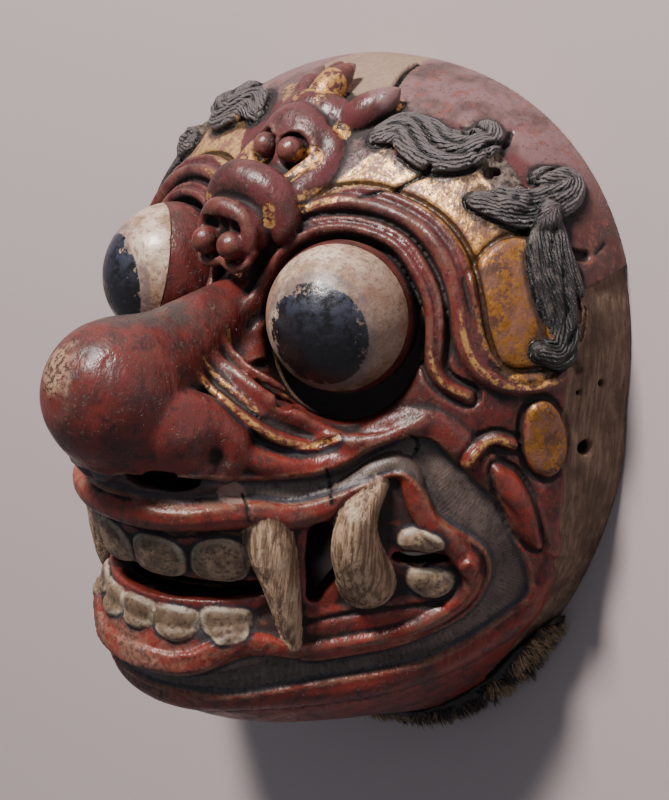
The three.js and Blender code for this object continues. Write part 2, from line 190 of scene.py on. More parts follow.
def curve(points, count, closed=False):
    """Catmull-Rom through rows of numbers, with even spacing in the parameter."""
    p = np.asarray(points, float)
    if closed:
        p = np.vstack([p[-1:], p, p[:2]])
    else:
        p = np.vstack([2 * p[0] - p[1], p, 2 * p[-1] - p[-2]])
    t = np.linspace(0, len(p) - 3 - 1e-9, count)
    i = t.astype(int)
    s = (t - i)[:, None]
    a, b, c, d = p[i], p[i + 1], p[i + 2], p[i + 3]
    square = 2 * a - 5 * b + 4 * c - d
    cube = 3 * b - a - 3 * c + d
    return 0.5 * (2 * b + (c - a) * s + square * s ** 2 + cube * s ** 3)


def on_face(uy):
    """Points of the plain block straight above (u, y)."""
    uy = np.asarray(uy, float)
    u, y = uy[:, 0], uy[:, 1]
    heights = np.arange(165.0, -1.0, -3.0)
    inside = block(u[:, None], y[:, None], heights[None, :]) < 0
    first = np.where(inside.any(1), inside.argmax(1), len(heights) - 1)
    low = heights[first]
    high = low + 3
    for _ in range(12):
        middle = (low + high) / 2
        within = block(u, y, middle) < 0
        low = np.where(within, middle, low)
        high = np.where(within, high, middle)
    return np.stack([u, y, (low + high) / 2], 1)


def outward(p):
    """The plain block's outward direction near points: differences of its field over a short step."""
    h = 0.5
    n = np.stack([
        block(p[:, 0] + h, p[:, 1], p[:, 2]) - block(p[:, 0] - h, p[:, 1], p[:, 2]),
        block(p[:, 0], p[:, 1] + h, p[:, 2]) - block(p[:, 0], p[:, 1] - h, p[:, 2]),
        block(p[:, 0], p[:, 1], p[:, 2] + h) - block(p[:, 0], p[:, 1], p[:, 2] - h),
    ], 1)
    return n / np.linalg.norm(n, axis=1, keepdims=True)


def along(stops, t):
    """A value that runs through evenly spaced stops as t goes from 0 to 1."""
    return np.interp(t, np.linspace(0, 1, len(stops)), stops)


class Line:
    """A smooth line on the plain block. A closed one has its inside on its left."""

    def __init__(self, stops, count=40, closed=False):
        stops = np.asarray(stops, float)
        if closed:
            u, y = stops.T
            if np.sum(u * np.roll(y, -1) - y * np.roll(u, -1)) < 0:
                stops = stops[::-1]
        self.points = on_face(curve(stops, count, closed))
        self.out = outward(self.points)
        ahead = np.gradient(self.points, axis=0)
        if closed:
            ahead[0] = ahead[-1] = self.points[1] - self.points[-2]
        left = np.cross(self.out, ahead)
        self.left = left / np.maximum(np.linalg.norm(left, axis=1, keepdims=True), 1e-9)
        self.length = np.linalg.norm(np.diff(self.points, axis=0), axis=1).sum()

    def near(self, p):
        """Where points lie beside the line.

        Gives the distance across the surface, above zero on the line's left, the place along the
        line from 0 to 1, and the height over the plain block.
        """
        best = np.full(len(p), 1e9)
        place = np.zeros(len(p))
        across = np.zeros(len(p))
        height = np.zeros(len(p))
        last = len(self.points) - 1
        for k in range(last):
            a = self.points[k]
            d = self.points[k + 1] - a
            t = np.clip((p - a) @ d / max(d @ d, 1e-9), 0, 1)
            away = p - a - t[:, None] * d
            square = np.einsum("ij,ij->i", away, away)
            closer = np.flatnonzero(square < best)
            best[closer] = square[closer]
            t = t[closer]
            away = away[closer]
            place[closer] = (k + t) / last
            out = self.out[k] + t[:, None] * (self.out[k + 1] - self.out[k])
            left = self.left[k] + t[:, None] * (self.left[k + 1] - self.left[k])
            rise = np.einsum("ij,ij->i", away, out)
            away = away - rise[:, None] * out
            side = np.where(np.einsum("ij,ij->i", away, left) < 0, -1, 1)
            across[closer] = side * np.linalg.norm(away, axis=1)
            height[closer] = rise
        return across, place, height


def pillow(p, at, size, turn=0.0, flip=False):
    """1 on the outline of a tooth and less inside: an arch on one side, nearly square on the other.

    size is half the width, the rise of the arch and the drop of the square side.
    """
    step = np.array([math.cos(turn), math.sin(turn)])
    seat = on_face([at])
    n = outward(seat)[0]
    ends = on_face([np.array(at) - step, np.array(at) + step])
    row = ends[1] - ends[0]
    row = row / np.linalg.norm(row)
    up = np.cross(n, row)
    d = p - seat[0]
    a = np.abs(d @ row) / size[0]
    b = d @ (-up if flip else up)
    arch = b > 0
    b = np.abs(b) / np.where(arch, size[1], size[2])
    power = np.where(arch, 2.1, 3.6)
    deep = np.maximum(np.abs(d @ n) - 9, 0)
    return (a ** power + b ** power) ** (1 / power) + deep


# The grid: one half of the face

US = np.arange(0, 115, GRID, dtype=np.float32)
YS = np.arange(-124, 127, GRID, dtype=np.float32)
ZS = np.arange(-4, 161, GRID, dtype=np.float32)


def window(low, high):
    """Slices of the grid between two corners."""
    cuts = []
    for axis, lo, hi in zip((US, YS, ZS), low, high):
        i = int(np.clip(np.searchsorted(axis, lo), 0, len(axis)))
        j = int(np.clip(np.searchsorted(axis, hi), i, len(axis)))
        cuts.append(slice(i, j))
    return tuple(cuts)


def axes(cuts):
    """The grid's three axes within a window, set to spread over it."""
    return US[cuts[0]][:, None, None], YS[cuts[1]][None, :, None], ZS[cuts[2]][None, None, :]


def from_bar(u, y, z, a, b):
    """Distance to a tapered round stretch between two rows of u, y, z, radius."""
    d = b - a
    t = np.clip(((u - a[0]) * d[0] + (y - a[1]) * d[1] + (z - a[2]) * d[2]) / max(d[:3] @ d[:3], 1e-9), 0, 1)
    away = np.sqrt((u - a[0] - t * d[0]) ** 2 + (y - a[1] - t * d[1]) ** 2 + (z - a[2] - t * d[2]) ** 2)
    return away - a[3] - t * d[3]


def chain(points):
    """A tapered round bar through rows of u, y, z, radius: the window it fills and its field."""
    spread = points[:, 3:4] + 5
    cuts = window((points[:, :3] - spread).min(0), (points[:, :3] + spread).max(0))
    out = np.full([s.stop - s.start for s in cuts], 9.0, np.float32)
    for a, b in zip(points[:-1], points[1:]):
        reach = max(a[3], b[3]) + 5
        part = window(np.minimum(a[:3], b[:3]) - reach, np.maximum(a[:3], b[:3]) + reach)
        part = tuple(slice(max(s.start, c.start), min(s.stop, c.stop)) for s, c in zip(part, cuts))
        if any(s.stop <= s.start for s in part):
            continue
        view = tuple(slice(s.start - c.start, s.stop - c.start) for s, c in zip(part, cuts))
        out[view] = np.minimum(out[view], from_bar(*axes(part), a, b))
    return cuts, out


def raised(line, radius, lift):
    """A round bar that follows a line: radius and lift are stops along it."""
    t = np.linspace(0, 1, len(line.points))
    return np.column_stack([line.points + line.out * along(lift, t)[:, None], along(radius, t)])


class Carving:
    """Half of the mask as a field on the grid."""

    def __init__(self, g):
        self.g = g

    def add(self, points, reach=1.2):
        """Lay a tapered round bar on the surface."""
        cuts, field = chain(np.asarray(points, float))
        self.g[cuts] = smin(self.g[cuts], field, reach)

    def cut(self, points, reach=1.0):
        """Take a tapered round bar out of the wood."""
        cuts, field = chain(np.asarray(points, float))
        self.g[cuts] = smax(self.g[cuts], -field, reach)

    def egg(self, at, size, reach=1.2, cut=False):
        """Lay an egg on the surface, or cut one out."""
        at, size = np.asarray(at, float), np.asarray(size, float)
        cuts = window(at - size - 5, at + size + 5)
        field = ovoid(*axes(cuts), at, size).astype(np.float32)
        self.g[cuts] = smax(self.g[cuts], -field, reach) if cut else smin(self.g[cuts], field, reach)

    def lift(self, low, high, height):
        """Raise the surface between two corners by height(points)."""
        cuts = window(low, high)
        g = self.g[cuts]
        near = np.abs(g) < SKIN
        p = np.stack([np.broadcast_to(a, g.shape)[near] for a in axes(cuts)], 1).astype(float)
        g[near] -= height(p).astype(np.float32)

    def emboss(self, line, profile, reach):
        """Raise the surface by profile(distance across, place along) beside a line."""
        def height(p):
            """The profile within reach of the line, fading out high over the plain block."""
            across, place, rise = line.near(p)
            lift = np.where(np.abs(across) < reach, profile(across, place), 0)
            return lift * (1 - smooth(np.abs(rise), *CLEAR_OF_LINE))
        margin = reach + SKIN
        self.lift(line.points.min(0) - margin, line.points.max(0) + margin, height)

    def panel(self, line, height, edge=1.5):
        """Raise or sink all that lies inside a closed line."""
        def step(p):
            """The full height inside the line, with an S over its edge."""
            across, _, rise = line.near(p)
            return height * smooth(across, -edge, edge) * (1 - smooth(np.abs(rise), *CLEAR_OF_LINE))
        self.lift(line.points.min(0) - SKIN - 2, line.points.max(0) + SKIN + 2, step)

    def tooth(self, at, size, height, **pose):
        """Raise a pillow of a tooth on the surface."""
        seat = on_face([at])[0]
        reach = max(size) + SKIN
        self.lift(seat - reach, seat + reach, lambda p: height * dome(pillow(p, at, size, **pose)) ** 0.7)


# Lines of the carving, as (u, y) places

BROW_OUTER = Line([
    (2, 50), (6, 58), (13, 67), (20, 73), (30, 77.5), (42, 78), (55, 75), (64, 70), (71, 62.5), (76, 52),
    (80, 41), (84, 33), (90, 28), (96, 27.5), (102, 30),
], 60)
BROW_INNER = Line([
    (7, 31), (9, 36), (10.5, 42), (12, 50), (15, 58), (20, 64), (27, 68.5), (36, 70.5), (46, 70),
    (55, 67), (62, 61), (68, 53), (71, 44), (73, 33), (77, 26.5), (83, 23),
], 60)
LEDGE = Line([(9, 28.5), (12, 27), (18, 25.5), (24, 23), (30, 20.5), (35, 18.5), (39, 16)], 26)
FOLD = Line([
    (5, 23.5), (11, 25), (19, 23.5), (26, 20.5), (33, 16.5), (40, 12), (47, 8.5), (55, 7), (63, 9),
    (71, 15),
], 40)
GOLD_ONE = Line([(3, 20.5), (9, 22), (16, 21.2), (23, 18.4), (29, 15), (34, 11.5)], 30)
GOLD_TWO = Line([
    (-1, 14.5), (4, 17.5), (9, 19), (15, 18.5), (22, 15.7), (28, 12.2), (33, 8.3), (38, 4.2), (42, 2.2),
    (46, 2.2), (51, 5),
], 40)
CHEEK_EDGE = Line([
    (33, 0), (38, -4), (44, -5), (52, -2.5), (60, 5), (67, 10.5), (75, 11.5), (82, 5.5), (89, -2.5),
    (96, -13), (98, -22), (101, -32),
], 50)
BAND = Line([
    (-6, -8), (5, -8), (16, -8), (30, -8), (37, -9), (44, -8), (52, -5), (62, 4), (69, 8), (75, 8),
    (80, 3), (87, -5), (92.5, -13), (94.5, -22), (95.5, -32), (93.5, -45), (87, -55), (77, -66),
    (66, -73), (45, -80), (32, -84), (16, -86), (0, -87), (-6, -87), (-6, -79), (0, -79), (10, -80),
    (22, -78), (33, -70), (41, -69), (47, -72), (56, -69.5), (67, -65), (80, -55), (87, -43),
    (89.5, -32), (87, -25), (79, -17), (77, -12), (74, -7), (69, -3), (62, -7), (53, -13), (45, -16),
    (36, -15), (19, -17), (5, -16), (-6, -16),
], 170, closed=True)
BAND_MIDDLE = Line([
    (0, -12), (9, -12), (25, -12), (35, -12), (45, -12), (53, -9.5), (60, -2), (67, 3), (72, 4),
    (77, -1), (83, -9), (90, -17), (93, -26), (92, -38), (86, -49), (77, -61), (66, -69), (50, -75),
    (35, -76), (16, -83), (0, -83),
], 70)
LIP_UPPER = Line([
    (-4, -22), (10, -22.5), (20, -22), (35, -20), (46, -20), (54, -15.5), (60, -8), (63, -3.5),
    (67, -1.5), (71, -4), (73.5, -11), (76.5, -18.5), (81.5, -25), (84.5, -32.5),
], 60)
LIP_LOWER = Line([
    (84.5, -32.5), (83.5, -41), (78, -50), (67, -60), (56, -64.5), (46, -67), (38, -64.5), (30, -65),
    (20, -73), (10, -75), (-4, -75),
], 60)
LIP_BULGE = Line([(84, -41), (74, -50.5), (60, -56.5), (46, -61), (32, -67), (18, -71), (-4, -71.5)], 40)
LIP_GROOVE = Line([(44, -58), (50, -56), (57, -53.5), (68, -50.5), (77, -48)], 20)
GUM_EDGE = Line([(-4, -29.5), (6, -29), (12, -28.5), (20, -29.5), (29, -26.5), (36, -27.5), (42, -24)], 30)
JAW_RIDGE = Line([
    (-4, -94), (16, -91), (30, -87), (45, -84), (62, -79), (76, -71), (89, -57), (97, -40),
], 40)
TONGUE = Line([
    (77, 61), (80, 71), (87, 73), (92, 66), (96, 55), (99.5, 44), (100, 36), (97, 30), (92, 30.5),
    (87, 37), (83, 46), (79, 55),
], 70, closed=True)
TEARDROP = Line([
    (96, 19.5), (99, 22), (101.5, 16), (102.5, 5), (101, -2), (97.5, 0), (95.5, 9),
], 40, closed=True)
LEAF = Line([
    (90, 0.5), (94, -1.5), (97, -9), (98.5, -18), (98.5, -27), (96.5, -24), (94, -16), (91.5, -8),
], 40, closed=True)
CRESCENT = Line([(84, 1), (86, 6), (89.5, 9.5), (93.5, 8)], 14)
BROKEN = Line([(62, 97), (66, 94.5), (71, 91), (75, 87), (78, 83)], 20)
LOCKS = [
    (Line([(30, 98.5), (37, 101), (44, 99), (51, 96.5), (57, 97), (61, 100.5), (58, 104.5)], 40),
     [3.5, 7.5, 9, 9, 8, 6, 3.5]),
    (Line([(69, 83), (75, 82), (81, 81), (85.5, 84.5), (84, 89.5), (79, 91)], 30),
     [3, 5, 6.5, 6.5, 5.5, 3.5]),
    (Line([(86, 80), (89, 73.5), (92.5, 65.5), (96, 57.5), (99, 50), (100, 43), (99.5, 38), (96, 38.5)], 40),
     [4, 6.5, 8, 8.5, 8.5, 7.5, 5.5, 3]),
]
STRANDS = 9
HAIRLINE = Line([
    (17, 108), (26, 104), (40, 106), (52, 104), (62, 101), (70, 97), (78, 92), (85, 84), (91, 74),
    (97, 62), (101, 50), (103, 38),
], 40)
FOREHEAD = Line([
    (16, 73), (22, 81), (27, 87), (32, 94), (38, 97), (47, 94), (56, 92), (63, 93), (71, 88), (79, 80),
    (85, 76), (89, 67), (93, 57), (97, 47), (101, 38), (99, 29), (92, 29), (87, 35), (83, 43), (80, 54),
    (75, 64), (67, 73), (57, 79), (44, 83), (32, 82), (23, 78),
], 90, closed=True)
# The red paint ends here towards the rim, as (y, z)
RED_END = np.array([
    (-112, 2), (-95, 4), (-82, 17), (-66, 17), (-49, 17), (-33, 21), (-18, 24), (0, 25), (23, 27),
    (40, 27), (56, 26), (62, 8), (66, -4),
], float)
# Cracks on the mask's own left half: (u, y) places, half width, depth
CRACKS = [
    ([(37, 79.5), (42, 82), (45, 84), (48, 86.5), (53, 91)], 1.0, 2.2),
    ([(63, 95), (64, 98), (65.5, 100.5), (63.5, 104)], 1.0, 2.4),
    ([(78, 89.5), (79, 91.5), (80, 94)], 0.8, 1.6),
    ([(51.5, 104.5), (55, 104), (59, 102)], 0.8, 1.4),
    ([(51, -5), (52.5, -9), (54, -15)], 0.8, 1.5),
    ([(70, 9), (72, 5.5), (71, 2)], 0.8, 1.5),
    ([(36, -14), (36.5, -18), (37, -21)], 0.7, 1.4),
    ([(13, 121), (15, 118.5), (19, 114), (21, 110)], 1.5, 3.4),
]
# Holes in the bare edge, as a line of places and a radius
EDGE_HOLES = [
    ([(94, 69, 23), (96.5, 68.2, 17)], 1.9), ([(98, 69, 13), (97.5, 72, 8)], 1.0),
    ([(107, 28, 13), (98, 26, 13)], 1.2), ([(105, 25, 21.5), (97, 24, 21)], 1.0),
]
CORD_HOLE = ([(120, 6, 17), (80, 6, 17)], 2.6)
FANG = raised(Line([(41, -25), (41, -33), (41.5, -44), (42.5, -55), (43.5, -64)], 20),
              [7.6, 7.6, 6.2, 4.6, 2.2], [-2, 1, 3.5, 4, 3.5])
TUSK = raised(Line([(60.5, -42.5), (60, -38), (59.5, -30), (60.5, -19), (64.5, -8)], 20),
              [9.4, 9.2, 8, 6.2, 2.6], [-2.5, -0.5, 1.5, 2.5, 1.5])
# Teeth: place, half width, arch, square side
UPPER_TEETH = [((10.7, -37.5), (10.2, 7.5, 8)), ((29.6, -36.3), (9.8, 8, 8))]
LOWER_TEETH = [((0, -59.6), (8.6, 6.4, 4)), ((15, -59.8), (8.6, 6.8, 4.4)), ((29.2, -58), (8.6, 6.4, 4.4))]
MOLARS = [((75, -25.5), (7.5, 4.5, 4)), ((75.5, -39.5), (8, 6.5, 4))]


def step_beside(across, wide, high, sharp=0.7):
    """A ledge: sharp on the line's left, falling away softly on its right."""
    return high * smooth(across, sharp, -sharp) * (1 - smooth(-across, wide * 0.3, wide))


def double_roll(across, place, wide, high, thin, fade):
    """A broad roll with a lower thin one beside it on the left, and a shallow line between them."""
    both = smooth(place, *fade[:2]) * (1 - smooth(place, *fade[2:]))
    main = dome(across / np.where(across > 0, wide - (wide * 0.32) * both, wide))
    second = 0.72 * both * dome((across - wide - thin * 0.35) / thin)
    bridge = 0.5 * both * ((across > 0) & (across < wide + thin * 0.35))
    return high * np.maximum(np.maximum(main, second), bridge)


def carve():
    """The outside of one half of the face, without its damage."""
    m = Carving(block(US[:, None, None], YS[None, :, None], ZS[None, None, :]).astype(np.float32))

    # Folds that sweep off the nose and across the cheek
    m.emboss(LEDGE, lambda d, t: step_beside(d, 5, 2.6) - 1.3 * bump((d + 3.2) / 1.1), 7)
    m.emboss(FOLD, lambda d, t: step_beside(d, 7, along([1.6, 2.6, 2.8, 2.6, 2.2, 1.2], t)), 8)
    m.emboss(GOLD_ONE, lambda d, t: (
        along([0.8, 1.5, 1.6, 1.4, 0.6], t) * dome(d / 1.3)
        - along([0.6, 1.8, 2.2, 1.6, 0.2], t) * bump((d + 2.4) / 1.5)
    ), 5)

    # Eyeball in its socket, with a deep shadow below it
    m.egg((42, 38, 71), (30, 29, 22), 4, cut=True)
    m.egg((46, 30, 74), (22, 15, 12), 5, cut=True)
    m.egg(EYE, (EYE_RADIUS,) * 3, 0.5)

    # Brow ridges, each with a thin roll riding on its outer side
    m.emboss(BROW_OUTER, lambda d, t: (
        double_roll(d, t, along([3, 3.8, 4.2, 4.2, 4, 4, 3.8, 3.2, 2.4], t),
                    along([2.4, 3.6, 4.4, 4.6, 4.6, 4.2, 3.6, 3, 1], t), 2.0, (0.2, 0.34, 0.76, 0.88))
        - 2.0 * bump((d - 5.0 - 2.6 * smooth(t, 0.2, 0.34) * (1 - smooth(t, 0.76, 0.88))) / 1.7)
    ), 10)
    m.emboss(BROW_INNER, lambda d, t: (
        double_roll(d, t, along([1.6, 2, 2.3, 2.4, 2.4, 2.4, 2.4, 2.2, 1.6], t),
                    along([2.4, 3, 3.4, 3.6, 3.8, 3.8, 3.4, 2.8, 1.2], t), 1.7, (0.16, 0.3, 0.8, 0.92))
        - 2.4 * bump((d - 3.4 - 1.9 * smooth(t, 0.16, 0.3) * (1 - smooth(t, 0.8, 0.92))) / 1.5)
        - 1.4 * bump((d + 3.4) / 1.2)
    ), 8)

    # The gilded fold above the lip, and the edge of the cheek
    m.emboss(GOLD_TWO, lambda d, t: (
        along([1.4, 2.6, 2.8, 2.6, 2.4, 2, 1], t) * dome(d / np.where(d > 0, 3.2, 2.0))
        - along([1.5, 2.8, 3, 2, 1, 0.8, 0.2], t) * bump((d + 3.6) / 2.2)
    ), 6)
    m.emboss(CHEEK_EDGE, lambda d, t: (
        along([1.5, 2.8, 3.2, 3, 2.8, 2.4, 1.4], t)
        * dome(d / np.where(d > 0, 6.5, along([3, 4, 4, 3.4, 3, 2.6, 2], t)))
    ), 8)
    m.emboss(CRESCENT, lambda d, t: 2.2 * dome(d / 2.0) - 1.0 * bump((np.abs(d) - 3) / 1.2), 5)

    # The flat band sunk round the mouth, with a thin bead along its edge, and the lips
    m.panel(BAND, -1.3, 0.8)
    m.emboss(BAND, lambda d, t: 0.7 * bump((d + 0.6) / 1.2), 3)
    m.emboss(LIP_UPPER, lambda d, t: (
        along([4.4, 4.4, 4.2, 4, 4, 3.6, 3.6], t) * dome(d / along([6, 5.6, 5, 4.4, 4.2, 4.2, 4.6], t))
    ), 8)
    m.emboss(LIP_LOWER, lambda d, t: (
        along([3.4, 3.2, 3.2, 3.4, 3.8, 4], t) * dome(d / np.where(d > 0, along([4.6, 4.6, 5, 6], t), 3.4))
    ), 8)
    m.emboss(LIP_BULGE, lambda d, t: (
        along([1.2, 2, 2.4, 3.6, 4.4], t) * dome(d / along([6, 7, 8, 9, 9], t))
    ), 11)
    m.emboss(LIP_GROOVE, lambda d, t: -1.4 * bump(d / 1.5), 4)
    m.emboss(GUM_EDGE, lambda d, t: -1.6 * bump(d / 1.4), 4)
    m.emboss(JAW_RIDGE, lambda d, t: 1.8 * dome(d / 5.5), 7)

    # Temple: gilded tongue, teardrop and leaf, each with a groove round it
    for line, height in ((TONGUE, 1.4), (TEARDROP, 2.6), (LEAF, 2.2)):
        m.panel(line, height, 1.4)
        m.emboss(line, lambda d, t: -1.3 * bump((d + 1.6) / 1.3), 4)

    # Locks of hair: twisted strands over a low bed
    for line, wide in LOCKS:
        m.emboss(line, lambda d, t, wide=wide: 3.4 * dome(d / along(wide, t)), 11)
        t = np.linspace(0, 1, len(line.points))
        for strand in range(STRANDS):
            turn = 2 * np.pi * strand / STRANDS + 2.6 * t
            across = along(wide, t) * 0.78 * np.cos(turn)
            rise = 1.7 + 1.5 * np.sin(turn)
            middle = line.points + line.left * across[:, None] + line.out * rise[:, None]
            m.add(np.column_stack([middle, along(wide, t) * 0.19 + 0.3]), 0.4)
    m.emboss(BROKEN, lambda d, t: (1.8 + 0.9 * np.sin(23 * t) * np.cos(d)) * dome(d / 5.5), 7)

    # The bare edge lies a little lower than the paint
    low, high = (60, -124, -4), (115, 70, 34)
    m.lift(low, high, lambda p: -1.3 * smooth(np.interp(p[:, 1], *RED_END.T) - p[:, 2], -0.9, 0.9))

    # Nose
    m.add(curve([(0, 42, 62, 9), (0, 39, 76, 11), (0, 34, 90, 12.5), (0, 27.5, 104, 15),
                 (0, 20, 118, 19), (0, 16, 128, 21.5)], 24), 6)
    m.egg((0, 15.3, 130), (22, 23, 24.5), 9)
    m.add(curve([(11, 5, 132, 5), (15, 10.5, 130, 6.4), (19, 13.2, 123.5, 7.2), (23, 12, 116.8, 7.4),
                 (27, 8.5, 110.5, 7.2), (30.5, 4, 107, 6.6), (31.5, -1, 106.5, 5.6),
                 (30.5, -6, 109, 4.6), (28, -10.5, 112.5, 2.4)], 26), 1.6)
    m.egg((19.5, 5, 121), (12, 9.5, 11), 6)
    m.egg((19, -9, 119), (8, 4.4, 14), 1.4, cut=True)
    m.egg((14, -9, 126), (6.5, 3.8, 8), 1.4, cut=True)
    m.add(curve([(3, -9, 136, 3.4), (7, -6.5, 136.5, 3.2), (10, -2, 134.5, 2.8)], 10), 2)

    # Crest: lower scroll with its two small balls
    m.egg((0, 70, 72), (15, 17, 12), 3)
    m.egg((0, 90, 54), (17, 17, 11), 3)
    m.add(curve([(0, 81.5, 77.2, 7.2), (6, 80.5, 76.4, 7.4), (11, 77.5, 75, 7.3), (15, 72.5, 74.2, 6.4),
                 (16.5, 68, 75, 4.5), (16, 64.5, 76, 2.2)], 24), 0.6)
    m.add(curve([(0, 73.3, 86.4, 3.4), (5, 72.4, 86, 3.5), (8.8, 69.3, 85.2, 3.4), (10.8, 64.8, 85, 3),
                 (11.2, 61, 85.4, 2.2)], 18), 0.4)
    m.egg((6, 67, 79), (8, 9, 8), 1.5)
    m.egg((5.8, 66.6, 88.5), (3.6, 3.4, 4), 0.5, cut=True)
    m.egg((6.2, 61.6, 88.8), (4.8, 4.8, 4.8), 0.3)
    m.add(curve([(6.2, 60, 82, 5), (6.2, 61, 86, 4.6)], 6), 0.8)
    m.add(curve([(12.5, 60, 84, 1.5), (10.5, 55.5, 86, 1.7), (6, 54, 87, 1.8),
                 (-1, 56, 86, 1.6)], 14), 0.6)

    # Crest: upper scroll, curling round a ball, under the top roll
    m.add(curve([(7.5, 98.5, 57.5, 2.8), (11, 97.6, 54.7, 3.8), (14.8, 94.2, 53.3, 4.8),
                 (17, 89.6, 54.6, 5.8), (17, 84.5, 58.6, 6.4), (16, 80.5, 63.8, 6.4),
                 (15.4, 77, 69.4, 5), (16, 74, 72.6, 2.8)], 30), 0.7)
    m.add(curve([(2.6, 96.4, 63.4, 1.5), (5, 98, 61.8, 1.9), (8.6, 98, 59.8, 2.2), (12, 94.8, 58.8, 2.5),
                 (13, 90, 60.2, 2.9), (12, 85.4, 64.2, 3.1), (9.2, 81.9, 67.8, 2.6),
                 (6, 80, 71, 1.4)], 30), 0.4)
    m.egg((6.6, 91.8, 63.2), (6.2, 6.2, 4.6), 0.5, cut=True)
    m.egg((6, 92.2, 63.9), (4.5, 4.5, 4.7), 0.3)
    m.add(curve([(6, 92, 54, 4.2), (6, 92.2, 61, 3.8)], 6), 0.4)
    m.add(curve([(0, 103.4, 46.6, 7.8), (6, 102.9, 46, 7.6), (11.4, 100.8, 45.4, 7),
                 (15.6, 97.2, 46.4, 5.8), (18.2, 93.5, 48, 3.6), (18.6, 90.5, 51, 1.8)], 24), 0.5)

    # The middle one of the three leaves behind the crest
    m.add(curve([(0, 104, 48, 4.8), (0, 108.5, 44, 5.8), (0.6, 112.6, 40, 5.4), (2, 117.2, 35.6, 3),
                 (3, 119.4, 33.2, 1)], 18), 0.5)

    # Teeth
    for at, size in UPPER_TEETH:
        m.tooth(at, size, 3.6)
    for at, size in LOWER_TEETH:
        m.tooth(at, size, 3.2, flip=True)
    for (at, size), flip in zip(MOLARS, (False, True)):
        m.tooth(at, size, 3.6, turn=-0.1, flip=flip)

    m.g = np.maximum(m.g, -ZS[None, None, :])
    return m


def open_up(m):
    """The wearer's hollow and what opens into it, then the fang and tusk that stand before it."""
    u, y, z = US[:, None, None], YS[None, :, None], ZS[None, None, :]
    m.g = smax(m.g, -hollow(u, y, z).astype(np.float32), 1.5)
    rows = on_face([(-3, -49), (10, -49), (20, -48.8), (29, -48.2), (37.5, -46.6)])
    ways = outward(rows)
    for depth, radius in ((4, 4.8), (0, 5.2), (-4, 5.2), (-9, 5), (-14, 4.6), (-19, 4.2), (-24, 4)):
        radii = np.linspace(radius, radius * 0.55, len(rows))
        m.cut(curve(np.column_stack([rows + ways * depth, radii]), 14), 0.6)
    for stops, radius in (
        ([(52.5, -26), (51.5, -34), (50.5, -41), (48.5, -48)], [4.6, 5.4, 5, 3]),
        ([(69, -32.4), (74, -33), (80, -32)], [1.8, 2.6, 1.4]),
    ):
        line = on_face(stops)
        for depth in range(12, -30, -2):
            m.cut(np.column_stack([line + np.array([0.78, 0, 0.62]) * depth, radius]), 0.6)
    for angle in np.radians(np.arange(222, 306, 7)):
        reach = EYE_RADIUS + 2.6
        at = EYE[:2] + reach * np.array([math.cos(angle), math.sin(angle)])
        m.cut([(*at, 92, 2.1), (*at, 40, 2.1)], 0.8)
    m.add(FANG, 0.6)
    m.add(TUSK, 0.6)
    places, radius = CORD_HOLE
    m.cut([(*place, radius) for place in places], 0.6)
    return m


# The outer leaf behind the crest leans further out on the mask's own left
OUTER_LEAF = curve([
    (12, 98.5, 44, 5), (17, 102.8, 44.4, 6.4), (21.5, 106.6, 42.6, 6.4), (25.4, 110.4, 40, 4.4),
    (28.3, 114.2, 37.4, 1),
], 24)
FAR_OUTER_LEAF = curve([
    (7, 100, 45, 5), (10, 105, 42, 6), (13, 110.5, 37.5, 5), (16.5, 114.5, 31.5, 2.4),
    (18, 116.5, 28, 1),
], 24)


def damage(m):
    """Cracks, holes and lost pieces on the mask's own left half."""
    for stops, wide, deep in CRACKS:
        m.emboss(Line(stops, 16), lambda d, t, wide=wide, deep=deep: (
            -deep * bump(d / wide) * (0.6 + 0.4 * np.sin(9 * t + deep) ** 2)
        ), 3)
    for places, radius in EDGE_HOLES:
        m.cut([(*place, radius) for place in places], 0.4)
    m.egg((68.5, 91.5, 33), (2.4, 2.2, 5), 0.4, cut=True)
    m.egg((77.5, 84.5, 31), (2.2, 4.2, 6), 0.4, cut=True)
    m.egg((12.5, -8.5, 134), (3, 2.2, 2.2), 0.4, cut=True)
    m.egg((57.5, 103, 34), (2.6, 2.2, 2.4), 0.6, cut=True)
    return m


# From field to mesh

def meshed(near, far):
    """Both halves of the field as one mesh of quads, in mm."""
    whole = np.concatenate([far[:0:-1], near]).astype(np.float32)
    grid = openvdb.FloatGrid(3.0)
    grid.copyFromArray(np.clip(whole, -3, 3))
    points, quads = grid.convertToQuads(0.0)
    points = points * GRID + np.array([-US[-1], YS[0], ZS[0]])
    return points, quads[:, ::-1]


def mesh_object(name, points, faces):
    """A new object from rows of points in metres and rows of corners."""
    mesh = bpy.data.meshes.new(name)
    mesh.vertices.add(len(points))
    mesh.vertices.foreach_set("co", np.ascontiguousarray(points, np.float32).ravel())
    size = faces.shape[1]
    mesh.loops.add(faces.size)
    mesh.loops.foreach_set("vertex_index", np.ascontiguousarray(faces, np.int32).ravel())
    mesh.polygons.add(len(faces))
    mesh.polygons.foreach_set("loop_start", np.arange(0, faces.size, size, dtype=np.int32))
    mesh.update(calc_edges=True)
    mesh.validate()
    obj = bpy.data.objects.new(name, mesh)
    bpy.context.scene.collection.objects.link(obj)
    return obj


def thinned(obj, triangles):
    """The same shape with fewer triangles."""
    now = sum(len(p.vertices) - 2 for p in obj.data.polygons)
    if now > triangles:
        cut = obj.modifiers.new("thin", "DECIMATE")
        cut.ratio = triangles / now
        shaped = bpy.data.meshes.new_from_object(obj.evaluated_get(bpy.context.evaluated_depsgraph_get()))
        obj.modifiers.clear()
        obj.data = shaped


